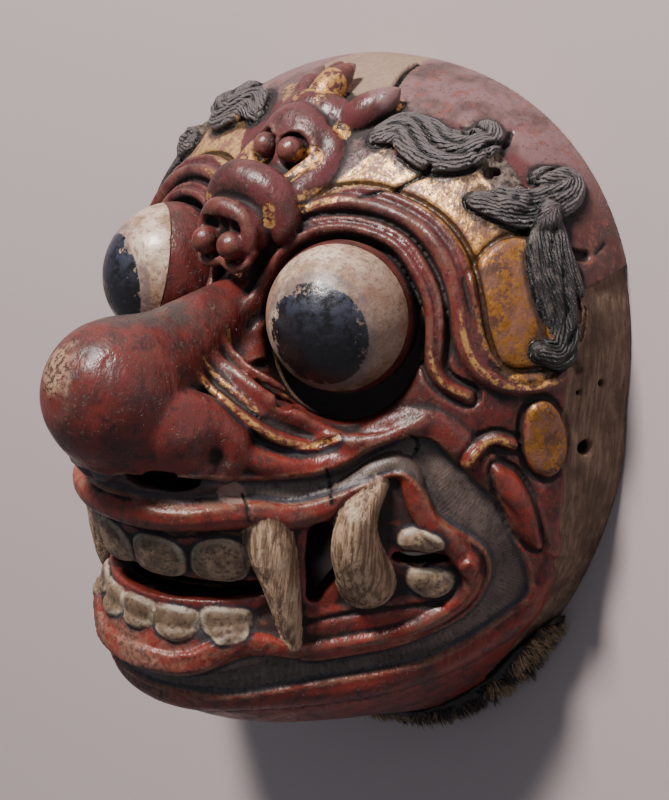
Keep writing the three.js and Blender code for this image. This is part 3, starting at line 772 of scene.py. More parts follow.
def without_crumbs(obj):
    """Keep the largest joined body.

    Every point takes the lowest number among its neighbours, over and over, until none changes.
    """
    mesh = obj.data
    ends = np.empty(len(mesh.edges) * 2, np.int32)
    mesh.edges.foreach_get("vertices", ends)
    a, b = ends.reshape(-1, 2).T
    body = np.arange(len(mesh.vertices))
    while True:
        low = np.minimum(body[a], body[b])
        lower = body.copy()
        np.minimum.at(lower, body[a], low)
        np.minimum.at(lower, body[b], low)
        lower = lower[lower]
        if (lower == body).all():
            break
        body = lower
    crumbs = body != np.bincount(body).argmax()
    if crumbs.any():
        shape = bmesh.new()
        shape.from_mesh(mesh)
        shape.verts.ensure_lookup_table()
        bmesh.ops.delete(shape, geom=[shape.verts[i] for i in np.flatnonzero(crumbs)], context="VERTS")
        shape.to_mesh(mesh)
        shape.free()


def points_of(obj):
    """A mesh's points as rows."""
    co = np.empty(len(obj.data.vertices) * 3, np.float32)
    obj.data.vertices.foreach_get("co", co)
    return co.reshape(-1, 3).astype(float)


def place(obj, p):
    """Carving's mm to the frame's metres; the mask's own right is slightly narrower above the middle."""
    p = p.copy()
    far = (p[:, 0] < 0) & (p[:, 1] > 0)
    wide = RIM_HALF_WIDTH + RIM_FLARE * p[far, 1]
    p[far, 0] *= (wide - FAR_TAPER * p[far, 1]) / wide
    obj.data.vertices.foreach_set("co", ((p + FRAME_SHIFT) * MM).astype(np.float32).ravel())
    obj.data.update()


def note(obj, name, values):
    """Keep a number for every point of a mesh, for its paint."""
    layer = obj.data.attributes.new(name, "FLOAT", "POINT")
    layer.data.foreach_set("value", np.ascontiguousarray(values, np.float32))


def spread(g, steps):
    """Mean of a field over a small cube; the half face is mirrored at its middle."""
    for axis in range(3):
        margin = [(0, 0)] * 3
        margin[axis] = (steps, steps)
        wide = np.pad(g, margin, mode="reflect")
        total = np.zeros_like(g)
        for k in range(2 * steps + 1):
            cut = [slice(None)] * 3
            cut[axis] = slice(k, k + g.shape[axis])
            total += wide[tuple(cut)]
        g = total / (2 * steps + 1)
    return g


def sampled(g, p):
    """A grid's value at points, linear between its cells."""
    q = np.stack([(np.abs(p[:, 0]) - US[0]), p[:, 1] - YS[0], p[:, 2] - ZS[0]], 1) / GRID
    q = np.clip(q, 0, np.array(g.shape) - 1.001)
    i = q.astype(int)
    f = q - i
    out = np.zeros(len(p))
    for corner in np.ndindex(2, 2, 2):
        share = np.prod(np.where(corner, f, 1 - f), axis=1)
        at = i + corner
        out += share * g[at[:, 0], at[:, 1], at[:, 2]]
    return out


# What is painted where: how far inside each painted shape every point lies, in mm

NOWHERE = -99.0
# Parts of ridges that are picked out in gold: line, from and to along it, half width
GOLD_LINES = [
    (GOLD_ONE, 0.05, 0.92, 0.75), (GOLD_TWO, 0.0, 1.0, 0.95), (LEDGE, 0.0, 1.0, 0.6),
    (BROW_OUTER, 0.0, 0.28, 1.1), (BROW_OUTER, 0.7, 0.97, 0.9), (BROW_INNER, 0.86, 1.0, 0.6),
    (CRESCENT, 0.0, 1.0, 0.9),
]
# Dabs of gold on the crest and the nose: middle and radius
GOLD_SPOTS = [
    ((13.5, 89, 62), 5.6), ((12, 84, 67), 4.2), ((14.6, 74.5, 80.5), 2.4), ((15, 70.5, 80.5), 2.4),
    ((0.5, 112, 43), 7), ((21, 104, 37), 5.5), ((26, 109, 36), 3.6), ((0, 87, 70), 3.0),
    ((16.5, 99, 51), 3.4), ((0, 44, 76), 5.5), ((8, -6, 138), 2.0), ((5, 107, 50), 3.0),
]
# Eggs, as middle and half sizes, within which the paint is sooty, rubbed, shaded or chipped
NOSE_SMUDGE = ((0, 38, 117), (11, 9, 20))
NOSE_WEAR = ((-4, 24, 151), (7, 8, 8))
NOSTRIL = ((19, -9, 119), (8.5, 5, 15))
RUBBED_LIP = ((0, -70, 119), (30, 9, 14))
RUBBED_CHIN = ((0, -84, 108), (34, 9, 16))
PALE_CHIP = ((34, -13, 108), (5, 3.4, 5))


def beside(line, q, reach=12.0):
    """Distance across to a line and the place along it, with 99 mm for points out of reach."""
    near = np.flatnonzero(((q > line.points.min(0) - reach) & (q < line.points.max(0) + reach)).all(1))
    distance, t, rise = line.near(q[near])
    across = np.full(len(q), -NOWHERE)
    place = np.zeros(len(q))
    across[near] = np.where(np.abs(rise) < 13, distance, -NOWHERE)
    place[near] = t
    return across, place


def inside(line, q):
    """Distance inside a closed line, and NOWHERE out of its reach."""
    across, _ = beside(line, q)
    return np.where(across > 90, NOWHERE, across)


def within_egg(q, at, size):
    """Distance inside an egg."""
    return -ovoid(q[:, 0], q[:, 1], q[:, 2], at, size)


def painted_shapes(p):
    """Every painted shape as a smooth distance, and how proud or sunk the surface is."""
    q = np.column_stack([np.abs(p[:, 0]), p[:, 1], p[:, 2]])
    proud = block(q[:, 0], q[:, 1], q[:, 2])
    near_side = p[:, 0] > 0
    low = 7.5 - proud
    ball = np.linalg.norm(q - EYE, axis=1)
    look = (q - EYE) / ball[:, None]
    shapes = {}

    def cap(axis, half_angle):
        """Distance along the eyeball inside a round patch about an axis."""
        axis = np.array(axis) / np.linalg.norm(axis)
        return EYE_RADIUS * (half_angle - np.arccos(np.clip(look @ axis, -1, 1)))

    shapes["white"] = np.minimum(EYE_RADIUS + 0.8 - ball, cap(WHITE_AXIS, WHITE_HALF_ANGLE))
    shapes["iris"] = cap(GAZE, IRIS_HALF_ANGLE)

    band, _ = beside(BAND, q)
    shapes["band"] = np.minimum(np.where(band > 90, NOWHERE, band), low)
    _, place_on_band = beside(BAND_MIDDLE, q, 16)
    shapes["hatch"] = place_on_band * BAND_MIDDLE.length

    gilt = np.maximum(inside(FOREHEAD, q), inside(TEARDROP, q))
    shapes["gilt"] = np.minimum(gilt, low)
    shapes["tongue"] = np.minimum(np.maximum(inside(TONGUE, q), inside(TEARDROP, q)), low)
    shapes["leaf"] = np.minimum(inside(LEAF, q), low)

    gold = np.full(len(q), NOWHERE)
    for line, first, last, half in GOLD_LINES:
        across, t = beside(line, q)
        beyond = np.maximum(first - t, 0) + np.maximum(t - last, 0)
        gold = np.maximum(gold, half - np.abs(across) - 20 * beyond)
    gold = np.minimum(gold, low)
    for at, radius in GOLD_SPOTS:
        gold = np.maximum(gold, radius - np.linalg.norm(q - np.array(at), axis=1))
    shapes["gold"] = gold

    bead = 0.9 - np.abs(band + 0.7)
    navy = 0.8 - np.abs(band - 0.9)
    for line in (LIP_LOWER, GUM_EDGE):
        across, _ = beside(line, q)
        bead = np.maximum(bead, 0.8 - np.abs(across))
    under, _ = beside(GOLD_TWO, q)
    navy = np.maximum(navy, 0.8 - np.abs(under + 2.4))
    shapes["bead"] = np.minimum(bead, low)
    shapes["navy"] = np.minimum(navy, low)

    hair = np.full(len(q), NOWHERE)
    strand = np.zeros(len(q))
    for line, wide in LOCKS:
        across, t = beside(line, q, 16)
        closer = along(wide, t) + 0.9 - np.abs(across) > hair
        hair = np.where(closer, along(wide, t) + 0.9 - np.abs(across), hair)
        strand = np.where(closer, across, strand)
    shapes["hair"] = np.minimum(hair, low)
    shapes["strand"] = strand
    across, _ = beside(BROKEN, q)
    shapes["broken"] = np.minimum(5.0 - np.abs(across), low)
    across, _ = beside(HAIRLINE, q, 60)
    shapes["cap"] = np.where(across > 90, NOWHERE, across)

    tooth = np.full(len(q), NOWHERE)
    for at, size in UPPER_TEETH:
        tooth = np.maximum(tooth, (1 - pillow(q, at, size)) * min(size))
    for at, size in LOWER_TEETH:
        tooth = np.maximum(tooth, (1 - pillow(q, at, size, flip=True)) * min(size))
    for (at, size), flip in zip(MOLARS, (False, True)):
        tooth = np.maximum(tooth, (1 - pillow(q, at, size, turn=-0.1, flip=flip)) * min(size))
    shapes["tooth"] = tooth
    horn = np.full(len(q), -NOWHERE)
    for bar in (FANG, TUSK):
        for a, b in zip(bar[:-1], bar[1:]):
            horn = np.minimum(horn, from_bar(q[:, 0], q[:, 1], q[:, 2], a, b))
    shapes["horn"] = 1.0 - horn
    gum = np.minimum(8.0 - np.abs(q[:, 1] + 49), 40 - q[:, 0])
    shapes["mouth"] = np.minimum(gum, -0.6 - proud)

    edge = np.interp(q[:, 1], *RED_END.T) - q[:, 2]
    flange = np.where((q[:, 1] < 66) & (q[:, 0] > 55), np.minimum(edge, 4 - proud), NOWHERE)
    notch = 19.5 - 0.85 * (p[:, 1] - 113) - p[:, 0]
    crown = np.minimum(np.minimum(notch, p[:, 0] + 24), np.minimum(p[:, 1] - 110.5, 2.2 - proud))
    shapes["bare"] = np.maximum(np.maximum(flange, crown), 0.6 - q[:, 2])

    shapes["rub"] = np.maximum(within_egg(q, *RUBBED_LIP), within_egg(q, *RUBBED_CHIN))
    shapes["smudge"] = within_egg(q, *NOSE_SMUDGE)
    shapes["wear"] = within_egg(p, *NOSE_WEAR)
    shapes["chip"] = np.where(near_side, within_egg(q, *PALE_CHIP), NOWHERE)
    crack = np.full(len(q), NOWHERE)
    for stops, wide, _ in CRACKS:
        across, _ = beside(Line(stops, 16), q, 4)
        crack = np.maximum(crack, 0.75 * wide - np.abs(across))
    shapes["crack"] = np.where(near_side, np.minimum(crack, low), NOWHERE)
    # Deep hollows and the nostril, for painted shade
    shapes["dark"] = np.maximum(-proud - 3.2, within_egg(q, *NOSTRIL))
    shapes["inner"] = 4.0 - np.abs(hollow(q[:, 0], q[:, 1], q[:, 2]))
    return shapes


# Materials

def rgb(r, g, b):
    """A display colour of 0 to 255 a channel, made linear."""
    return tuple(((c / 255 + 0.055) / 1.055) ** 2.4 for c in (r, g, b)) + (1.0,)


class Paint:
    """A material in the making. Each step takes sockets or numbers and gives a socket back."""

    def __init__(self, name):
        self.material = bpy.data.materials.new(name)
        self.material.use_nodes = True
        self.nodes = self.material.node_tree.nodes
        self.links = self.material.node_tree.links
        self.shader = self.nodes["Principled BSDF"]
        self.place = self.nodes.new("ShaderNodeTexCoord").outputs["Object"]

    def feed(self, socket, value):
        """Link a socket to another, or set its own number or colour."""
        if isinstance(value, bpy.types.NodeSocket):
            self.links.new(value, socket)
        else:
            socket.default_value = value

    def shape(self, name):
        """A number kept on the mesh."""
        node = self.nodes.new("ShaderNodeAttribute")
        node.attribute_name = name
        return node.outputs["Fac"]

    def math(self, how, a, b=0.0):
        """One sum of two numbers."""
        node = self.nodes.new("ShaderNodeMath")
        node.operation = how
        self.feed(node.inputs[0], a)
        self.feed(node.inputs[1], b)
        return node.outputs[0]

    def times(self, *parts):
        """The product of numbers."""
        out = parts[0]
        for part in parts[1:]:
            out = self.math("MULTIPLY", out, part)
        return out

    def rise(self, value, low, high, start=0.0, end=1.0):
        """An S from start to end as the value goes from low to high."""
        node = self.nodes.new("ShaderNodeMapRange")
        node.interpolation_type = "SMOOTHSTEP"
        for socket, v in zip(node.inputs[:5], (value, low, high, start, end)):
            self.feed(socket, v)
        return node.outputs[0]

    def noise(self, size, detail=3.0, rough=0.55, stretch=(1, 1, 1), shift=0.0):
        """Cloudy noise whose lumps are about size mm; stretch draws them out along x, y or z."""
        mapping = self.nodes.new("ShaderNodeMapping")
        self.links.new(self.place, mapping.inputs["Vector"])
        mapping.inputs["Scale"].default_value = [1 / (MM * size * s) for s in stretch]
        mapping.inputs["Location"].default_value = (shift, 2 * shift, -shift)
        node = self.nodes.new("ShaderNodeTexNoise")
        self.links.new(mapping.outputs["Vector"], node.inputs["Vector"])
        node.inputs["Scale"].default_value = 1.0
        node.inputs["Detail"].default_value = detail
        node.inputs["Roughness"].default_value = rough
        return node.outputs["Fac"]

    def cells(self, size):
        """Distance to the nearest border of a mosaic of cells about size mm wide."""
        mapping = self.nodes.new("ShaderNodeMapping")
        self.links.new(self.place, mapping.inputs["Vector"])
        mapping.inputs["Scale"].default_value = [1 / (MM * size)] * 3
        node = self.nodes.new("ShaderNodeTexVoronoi")
        node.feature = "DISTANCE_TO_EDGE"
        self.links.new(mapping.outputs["Vector"], node.inputs["Vector"])
        node.inputs["Scale"].default_value = 1.0
        return node.outputs["Distance"]

    def ragged(self, shape, noise, amount, soft=0.5):
        """1 inside a painted shape, with its edge moved about by noise."""
        moved = self.math("ADD", shape, self.math("MULTIPLY", self.math("SUBTRACT", noise, 0.5), amount))
        return self.rise(moved, -soft, soft)

    def mix(self, share, a, b):
        """Colour a where share is 0 and b where it is 1."""
        node = self.nodes.new("ShaderNodeMix")
        node.data_type = "RGBA"
        self.feed(node.inputs[0], share)
        self.feed(node.inputs[6], a)
        self.feed(node.inputs[7], b)
        return node.outputs[2]

    def blend(self, share, a, b):
        """Mix of two numbers."""
        node = self.nodes.new("ShaderNodeMix")
        self.feed(node.inputs[0], share)
        self.feed(node.inputs[2], a)
        self.feed(node.inputs[3], b)
        return node.outputs[0]

    def finish(self, colour, roughness, height, depth, metal=None):
        """Colour, roughness, and relief whose height of 1 stands depth mm proud."""
        self.feed(self.shader.inputs["Base Color"], colour)
        self.feed(self.shader.inputs["Roughness"], roughness)
        if metal is not None:
            self.feed(self.shader.inputs["Metallic"], metal)
        relief = self.nodes.new("ShaderNodeBump")
        relief.inputs["Distance"].default_value = depth * MM
        self.links.new(height, relief.inputs["Height"])
        self.links.new(relief.outputs["Normal"], self.shader.inputs["Normal"])
        return self.material


def painted_wood():
    """Worn red lacquer over brown wood, with gold leaf, black hair, bone teeth and bare edges."""
    m = Paint("painted_wood")
    broad = m.noise(34, 3)
    cloud = m.noise(11, 5, 0.62)
    patch = m.noise(5, 5, 0.65, shift=3.0)
    fleck = m.noise(1.7, 4, 0.65, shift=7.0)
    grit = m.noise(0.6, 2, 0.6, shift=11.0)
    grain = m.noise(1.5, 5, 0.65, stretch=(1, 9, 1), shift=5.0)
    facets = m.noise(8, 1, 0.4, stretch=(1, 1.6, 1), shift=13.0)
    three = m.nodes.new("ShaderNodeSeparateXYZ")
    m.links.new(m.place, three.inputs[0])
    side = m.math("DIVIDE", three.outputs["X"], MM)
    up = m.math("DIVIDE", three.outputs["Y"], MM)
    edge = m.shape("edge")
    crease = m.shape("crease")

    # Lacquer: purple-brown above, partly a painted sheen, vermilion about the mouth and jaw, with painted
    # shade and grime darkening its hollows
    bright = m.times(m.rise(up, 26, -18, 0.1, 0.95), m.rise(broad, 0.34, 0.6, 0.5, 1.0))
    colour = m.mix(bright, rgb(90, 36, 33), rgb(124, 40, 28))
    # Purple-brown towards the top: the lacquer's own tone with a painted sheen over it
    colour = m.mix(m.rise(up, 48, 84, 0, 0.75), colour, rgb(88, 46, 50))
    colour = m.mix(m.rise(cloud, 0.42, 0.66, 0, 0.85), colour, rgb(58, 28, 26))
    colour = m.mix(m.rise(patch, 0.52, 0.66, 0, 0.7), colour, rgb(46, 27, 25))
    dusty = m.times(m.rise(grit, 0.6, 0.72), m.rise(cloud, 0.35, 0.6))
    colour = m.mix(m.times(dusty, 0.4), colour, rgb(140, 100, 88))
    cap = m.rise(m.shape("cap"), -1.0, 3.0)
    # The cap turns lighter and lilac towards the top: a painted highlight and sheen
    cap_colour = m.mix(m.rise(up, 70, 104), rgb(74, 34, 30), rgb(118, 88, 90))
    stain = m.rise(m.noise(24, 4, 0.6, shift=2.0), 0.46, 0.62, 0, 0.85)
    cap_colour = m.mix(stain, cap_colour, rgb(66, 48, 44))
    cap_colour = m.mix(m.rise(patch, 0.52, 0.64, 0, 0.7), cap_colour, rgb(120, 66, 56))
    colour = m.mix(m.times(cap, 0.92), colour, cap_colour)
    worn = m.times(m.rise(edge, 0.1, 0.34), m.rise(patch, 0.4, 0.58))
    colour = m.mix(m.times(worn, 0.36), colour, rgb(132, 84, 68))
    rub = m.times(m.rise(m.shape("rub"), -1.5, 2.0), m.rise(cloud, 0.32, 0.55))
    pale = m.mix(m.rise(fleck, 0.4, 0.62), rgb(132, 92, 76), rgb(84, 48, 40))
    colour = m.mix(m.times(rub, 0.75), colour, pale)
    loss = m.times(m.rise(fleck, 0.6, 0.63), m.rise(cloud, 0.4, 0.55, 0.15, 1.0))
    under_paint = m.mix(m.rise(grit, 0.4, 0.6), rgb(48, 30, 26), rgb(108, 82, 66))
    colour = m.mix(m.times(loss, 0.8), colour, under_paint)
    # Painted shade with grime: darker the more hollow the surface, broken up by flecks; it darkens every
    # paint below
    crease_shade_and_grime = m.rise(m.math("ADD", crease, m.times(m.math("SUBTRACT", fleck, 0.5), 0.5)), 0.08, 0.55)
    colour = m.mix(m.times(crease_shade_and_grime, 0.93), colour, rgb(24, 14, 13))
    rough = m.blend(crease_shade_and_grime, m.rise(cloud, 0.3, 0.7, 0.3, 0.48), 0.75)
    rough = m.blend(m.math("MAXIMUM", loss, m.times(rub, 0.6)), rough, 0.7)
    height = m.math("ADD", m.times(m.noise(3.2, 3, 0.66, stretch=(1, 2.5, 1)), 0.9), m.times(facets, 1.6))
    height = m.math("SUBTRACT", height, m.times(m.rise(fleck, 0.6, 0.63), 0.25))

    # Charcoal band with fine strokes across it
    band = m.ragged(m.shape("band"), fleck, 0.6, 0.3)
    stroke_place = m.math("ADD", m.shape("hatch"), m.times(patch, 4.0))
    strokes = m.rise(m.math("SINE", m.times(stroke_place, 4.4)), -0.2, 0.9)
    charcoal = m.mix(m.rise(cloud, 0.35, 0.65), rgb(72, 59, 54), rgb(96, 80, 74))
    charcoal = m.mix(m.times(strokes, m.rise(patch, 0.36, 0.6), 0.3), charcoal, rgb(128, 112, 102))
    charcoal = m.mix(m.rise(fleck, 0.56, 0.7, 0, 0.5), charcoal, rgb(30, 24, 24))
    charcoal = m.mix(m.rise(patch, 0.6, 0.7, 0, 0.5), charcoal, rgb(100, 52, 42))
    charcoal = m.mix(m.times(crease_shade_and_grime, 0.35), charcoal, rgb(30, 24, 24))
    # Painted shade on the band under the nose, dark purple
    shade_under_nose = m.times(m.rise(up, -30, -22), m.rise(m.math("ABSOLUTE", side), 34, 26))
    charcoal = m.mix(m.times(shade_under_nose, 0.8), charcoal, rgb(56, 30, 34))
    colour = m.mix(band, colour, charcoal)
    rough = m.blend(band, rough, 0.5)

    # Dark blue outlines and the tan bead of rubbed edges
    navy = m.times(m.ragged(m.shape("navy"), fleck, 0.9, 0.35), m.rise(cloud, 0.36, 0.52, 0.15, 0.8))
    colour = m.mix(navy, colour, rgb(36, 36, 46))
    bead = m.times(m.ragged(m.shape("bead"), fleck, 1.2, 0.35), m.rise(patch, 0.42, 0.58, 0.05, 0.5))
    colour = m.mix(bead, colour, rgb(124, 88, 66))

    # Gold leaf, worn through to its red ground
    gilt = m.ragged(m.shape("gilt"), patch, 3.0, 0.6)
    tongue = m.ragged(m.shape("tongue"), patch, 2.0, 0.8)
    leaf_cover = m.math("ADD", m.times(patch, 0.6), m.times(m.noise(1.3, 5, 0.7, shift=9.0), 0.4))
    covered = m.rise(leaf_cover, m.blend(tongue, 0.45, 0.485), m.blend(tongue, 0.52, 0.525))
    ground = m.mix(m.rise(cloud, 0.42, 0.6), rgb(118, 76, 56), rgb(80, 48, 34))
    leaf = m.mix(m.rise(m.noise(3.4, 4, shift=4.0), 0.35, 0.65), rgb(200, 148, 84), rgb(156, 104, 48))
    # Leaf and ground turn lighter towards the top: a painted highlight
    leaf = m.mix(m.rise(up, 66, 88, 0, 0.65), leaf, rgb(226, 186, 130))
    ground = m.mix(m.rise(up, 66, 88, 0, 0.5), ground, rgb(158, 112, 92))
    leaf = m.mix(m.times(tongue, 0.8), leaf, rgb(142, 90, 32))
    leaf = m.mix(m.rise(fleck, 0.56, 0.7, 0, 0.7), leaf, rgb(92, 60, 34))
    leafed = m.mix(covered, ground, leaf)
    leafed = m.mix(m.rise(m.cells(2.6), 0.05, 0.0, 0, 0.4), leafed, rgb(76, 46, 30))
    leafed = m.mix(m.times(crease_shade_and_grime, 0.85), leafed, rgb(40, 24, 16))
    colour = m.mix(gilt, colour, leafed)
    line_cover = m.rise(m.noise(2.2, 4, 0.65, shift=6.0), 0.44, 0.54)
    gold = m.times(m.ragged(m.shape("gold"), fleck, 1.4, 0.4), line_cover)
    colour = m.mix(gold, colour, m.mix(patch, rgb(206, 160, 98), rgb(160, 110, 58)))
    red_leaf = m.times(m.ragged(m.shape("leaf"), fleck, 0.6, 0.6), 0.7)
    leaf_red = m.mix(m.rise(patch, 0.46, 0.62, 0, 0.8), rgb(126, 42, 29), rgb(78, 31, 26))
    colour = m.mix(red_leaf, colour, leaf_red)
    metal = m.times(m.math("MAXIMUM", m.times(gilt, covered), gold), 0.55)
    rough = m.blend(m.math("MAXIMUM", gilt, gold), rough, m.rise(fleck, 0.35, 0.65, 0.36, 0.6))
    leaf_edge = m.math("MAXIMUM", m.rise(m.shape("gilt"), -0.6, 0.6), m.rise(m.shape("gold"), -0.4, 0.4))
    height = m.math("ADD", height, m.times(leaf_edge, 0.3))

    # Hair: black with grey dust and a painted sheen on its ridges, and raw wood where a lock has broken away
    broken = m.ragged(m.shape("broken"), patch, 3.0, 0.5)
    colour = m.mix(broken, colour, m.mix(m.rise(fleck, 0.4, 0.62), rgb(50, 40, 36), rgb(116, 100, 88)))
    hair = m.ragged(m.shape("hair"), fleck, 0.8, 0.35)
    strand = m.math("SINE", m.times(m.math("ADD", m.shape("strand"), m.times(patch, 2.6)), 5.2))
    # Grey on the ridges of the hair, lighter towards the top: dust with a painted sheen
    dust_and_sheen = m.mix(m.rise(up, 60, 95), rgb(50, 45, 45), rgb(92, 85, 86))
    ridges = m.rise(m.math("ADD", edge, m.times(strand, 0.06)), -0.05, 0.3)
    black = m.mix(ridges, rgb(20, 18, 19), dust_and_sheen)
    black = m.mix(m.times(m.rise(patch, 0.52, 0.66), 0.6), black, rgb(110, 100, 94))
    black = m.mix(m.times(crease_shade_and_grime, 0.8), black, rgb(12, 11, 12))
    colour = m.mix(hair, colour, black)
    rough = m.blend(hair, rough, m.rise(patch, 0.4, 0.6, 0.4, 0.68))
    rough = m.blend(broken, rough, 0.8)
    height = m.math("ADD", height, m.times(m.rise(m.shape("hair"), -0.4, 0.4), strand, 0.5))

    # Mouth: dark gums, bone teeth with a pale outline, fluted fang and tusk
    mouth = m.ragged(m.shape("mouth"), fleck, 0.6, 0.5)
    colour = m.mix(mouth, colour, m.mix(m.rise(cloud, 0.4, 0.6), rgb(104, 40, 30), rgb(44, 20, 18)))
    tooth_shape = m.shape("tooth")
    tooth = m.ragged(tooth_shape, fleck, 0.5, 0.3)
    outline = m.times(m.rise(tooth_shape, -1.6, -0.5), m.math("SUBTRACT", 1.0, tooth))
    colour = m.mix(m.times(outline, m.rise(patch, 0.38, 0.58, 0.4, 0.95)), colour, rgb(34, 32, 38))
    bone = m.mix(m.rise(patch, 0.38, 0.6), rgb(150, 124, 100), rgb(104, 82, 64))
    bone = m.mix(m.rise(up, -50, -56, 0, 0.6), bone, rgb(84, 64, 48))
    bone = m.mix(m.rise(fleck, 0.5, 0.66, 0, 0.75), bone, rgb(62, 48, 40))
    pale_rim = m.times(m.rise(tooth_shape, 1.4, 0.2), m.rise(patch, 0.42, 0.58, 0.1, 0.85))
    bone = m.mix(pale_rim, bone, rgb(176, 162, 142))
    bone = m.mix(m.times(crease_shade_and_grime, 0.3), bone, rgb(44, 33, 28))
    colour = m.mix(tooth, colour, bone)
    horn_shape = m.shape("horn")
    horn = m.rise(horn_shape, 0.0, 0.5)
    flutes = m.noise(1.5, 4, 0.6, stretch=(1, 10, 1), shift=8.0)
    ivory = m.mix(m.rise(flutes, 0.4, 0.6), rgb(168, 138, 112), rgb(108, 82, 62))
    ivory = m.mix(m.rise(fleck, 0.55, 0.7, 0, 0.6), ivory, rgb(62, 46, 38))
    ivory = m.mix(m.rise(m.noise(6, 3, shift=1.0), 0.56, 0.7, 0, 0.5), ivory, rgb(196, 178, 152))
    colour = m.mix(horn, colour, ivory)
    rough = m.blend(m.math("MAXIMUM", tooth, horn), rough, 0.55)
    height = m.blend(horn, height, m.times(flutes, 2.4))

    # Eyes: dirty varnished white, darker low on the ball, blue-black iris flaked at its edge, with a painted
    # sheen towards its top
    white = m.ragged(m.shape("white"), fleck, 0.5, 0.25)
    ball = m.mix(m.rise(cloud, 0.36, 0.62), rgb(196, 174, 154), rgb(146, 116, 96))
    outer_part = m.math("SUBTRACT", m.math("ABSOLUTE", side), m.times(patch, 16))
    ball = m.mix(m.rise(outer_part, 40, 54, 0, 0.75), ball, rgb(112, 84, 70))
    ball = m.mix(m.rise(fleck, 0.5, 0.64, 0, 0.65), ball, rgb(100, 74, 60))
    ball = m.mix(m.times(m.rise(m.cells(4.2), 0.025, 0.0), 0.55), ball, rgb(84, 62, 50))
    # Darker over the lowest part of the ball
    ball = m.mix(m.times(m.rise(up, 40, 20), m.rise(patch, 0.35, 0.6), 0.85), ball, rgb(88, 62, 48))
    iris_shape = m.shape("iris")
    flake = m.rise(m.math("ADD", m.times(iris_shape, -0.03), m.noise(6.5, 5, 0.7, shift=12.0)), 0.50, 0.53)
    halo = m.times(m.rise(iris_shape, -4.5, -3.2), m.rise(cloud, 0.4, 0.6, 0.15, 0.6))
    ball = m.mix(halo, ball, rgb(96, 84, 88))
    # Blue in patches towards the top of the iris: a painted sheen over its blue-black paint
    blue = m.times(m.rise(up, 34, 54), m.rise(patch, 0.4, 0.62))
    iris = m.mix(blue, rgb(22, 20, 23), rgb(46, 50, 66))
    iris = m.mix(m.rise(fleck, 0.56, 0.7, 0, 0.4), iris, rgb(66, 58, 60))
    unflaked = m.math("SUBTRACT", 1.0, m.times(flake, 0.85))
    iris_share = m.times(m.ragged(iris_shape, fleck, 0.8, 0.3), unflaked)
    ball = m.mix(iris_share, ball, iris)
    ball = m.mix(m.times(crease_shade_and_grime, 0.8), ball, rgb(50, 34, 28))
    colour = m.mix(white, colour, ball)
    rough = m.blend(white, rough, m.rise(patch, 0.4, 0.6, 0.26, 0.44))
    height = m.blend(m.rise(m.shape("white"), -0.3, 0.3), height, m.times(patch, 0.6))
    metal = m.times(metal, m.math("SUBTRACT", 1.0, m.math("MAXIMUM", white, m.math("MAXIMUM", hair, tooth))))

    # Nose: soot on top, rubbed to pitted wood at the tip
    smudge = m.times(m.ragged(m.shape("smudge"), cloud, 14.0, 3.0), m.rise(patch, 0.34, 0.56, 0.45, 0.95))
    colour = m.mix(smudge, colour, rgb(58, 46, 44))
    wear = m.ragged(m.shape("wear"), cloud, 20.0, 3.0)
    rubbed = m.mix(m.rise(fleck, 0.42, 0.62), rgb(152, 118, 94), rgb(78, 54, 43))
    colour = m.mix(m.times(wear, m.rise(patch, 0.3, 0.5, 0.5, 0.95)), colour, rubbed)
    rough = m.blend(wear, rough, 0.65)
    pits = m.times(m.rise(m.shape("wear"), -3, 3), m.rise(fleck, 0.5, 0.66), 0.8)
    height = m.math("SUBTRACT", height, pits)
    chip = m.ragged(m.shape("chip"), patch, 5.0, 0.4)
    colour = m.mix(chip, colour, rgb(120, 96, 88))

    # Bare wood: the edge, the crown behind the crest, and the wearer's side
    wood = m.mix(m.rise(grain, 0.36, 0.62), rgb(132, 106, 86), rgb(98, 74, 58))
    wood = m.mix(m.rise(cloud, 0.42, 0.66, 0, 0.75), wood, rgb(76, 54, 42))
    wood = m.mix(m.rise(fleck, 0.58, 0.72, 0, 0.6), wood, rgb(46, 33, 28))
    wood = m.mix(m.rise(up, 95, 108, 0, 0.5), wood, rgb(166, 138, 122))
    bare = m.ragged(m.shape("bare"), patch, 3.4, 0.4)
    colour = m.mix(bare, colour, wood)
    inner = m.rise(m.shape("inner"), 0.0, 1.2)
    gouges = m.noise(7, 2, 0.4, stretch=(1, 2.5, 1), shift=15.0)
    raw = m.mix(m.rise(gouges, 0.35, 0.65), rgb(104, 80, 60), rgb(70, 50, 38))
    raw = m.mix(m.rise(grain, 0.5, 0.66, 0, 0.5), raw, rgb(52, 36, 28))
    colour = m.mix(inner, colour, raw)
    timber = m.math("MAXIMUM", bare, inner)
    rough = m.blend(timber, rough, 0.78)
    metal = m.times(metal, m.math("SUBTRACT", 1.0, timber))
    rough_wood = m.math("ADD", m.times(grain, 1.4), m.times(gouges, 2.0))
    height = m.blend(m.math("MAXIMUM", m.rise(m.shape("bare"), -0.5, 0.5), inner), height, rough_wood)

    # Painted shade in deep hollows and the nostril, then dark cracks
    shade = m.times(m.rise(m.shape("dark"), -0.8, 1.0), m.math("SUBTRACT", 1.0, inner), 0.9)
    colour = m.mix(shade, colour, rgb(20, 12, 11))
    colour = m.mix(m.ragged(m.shape("crack"), fleck, 0.4, 0.3), colour, rgb(16, 10, 9))
    return m.finish(colour, rough, height, 0.55, metal)


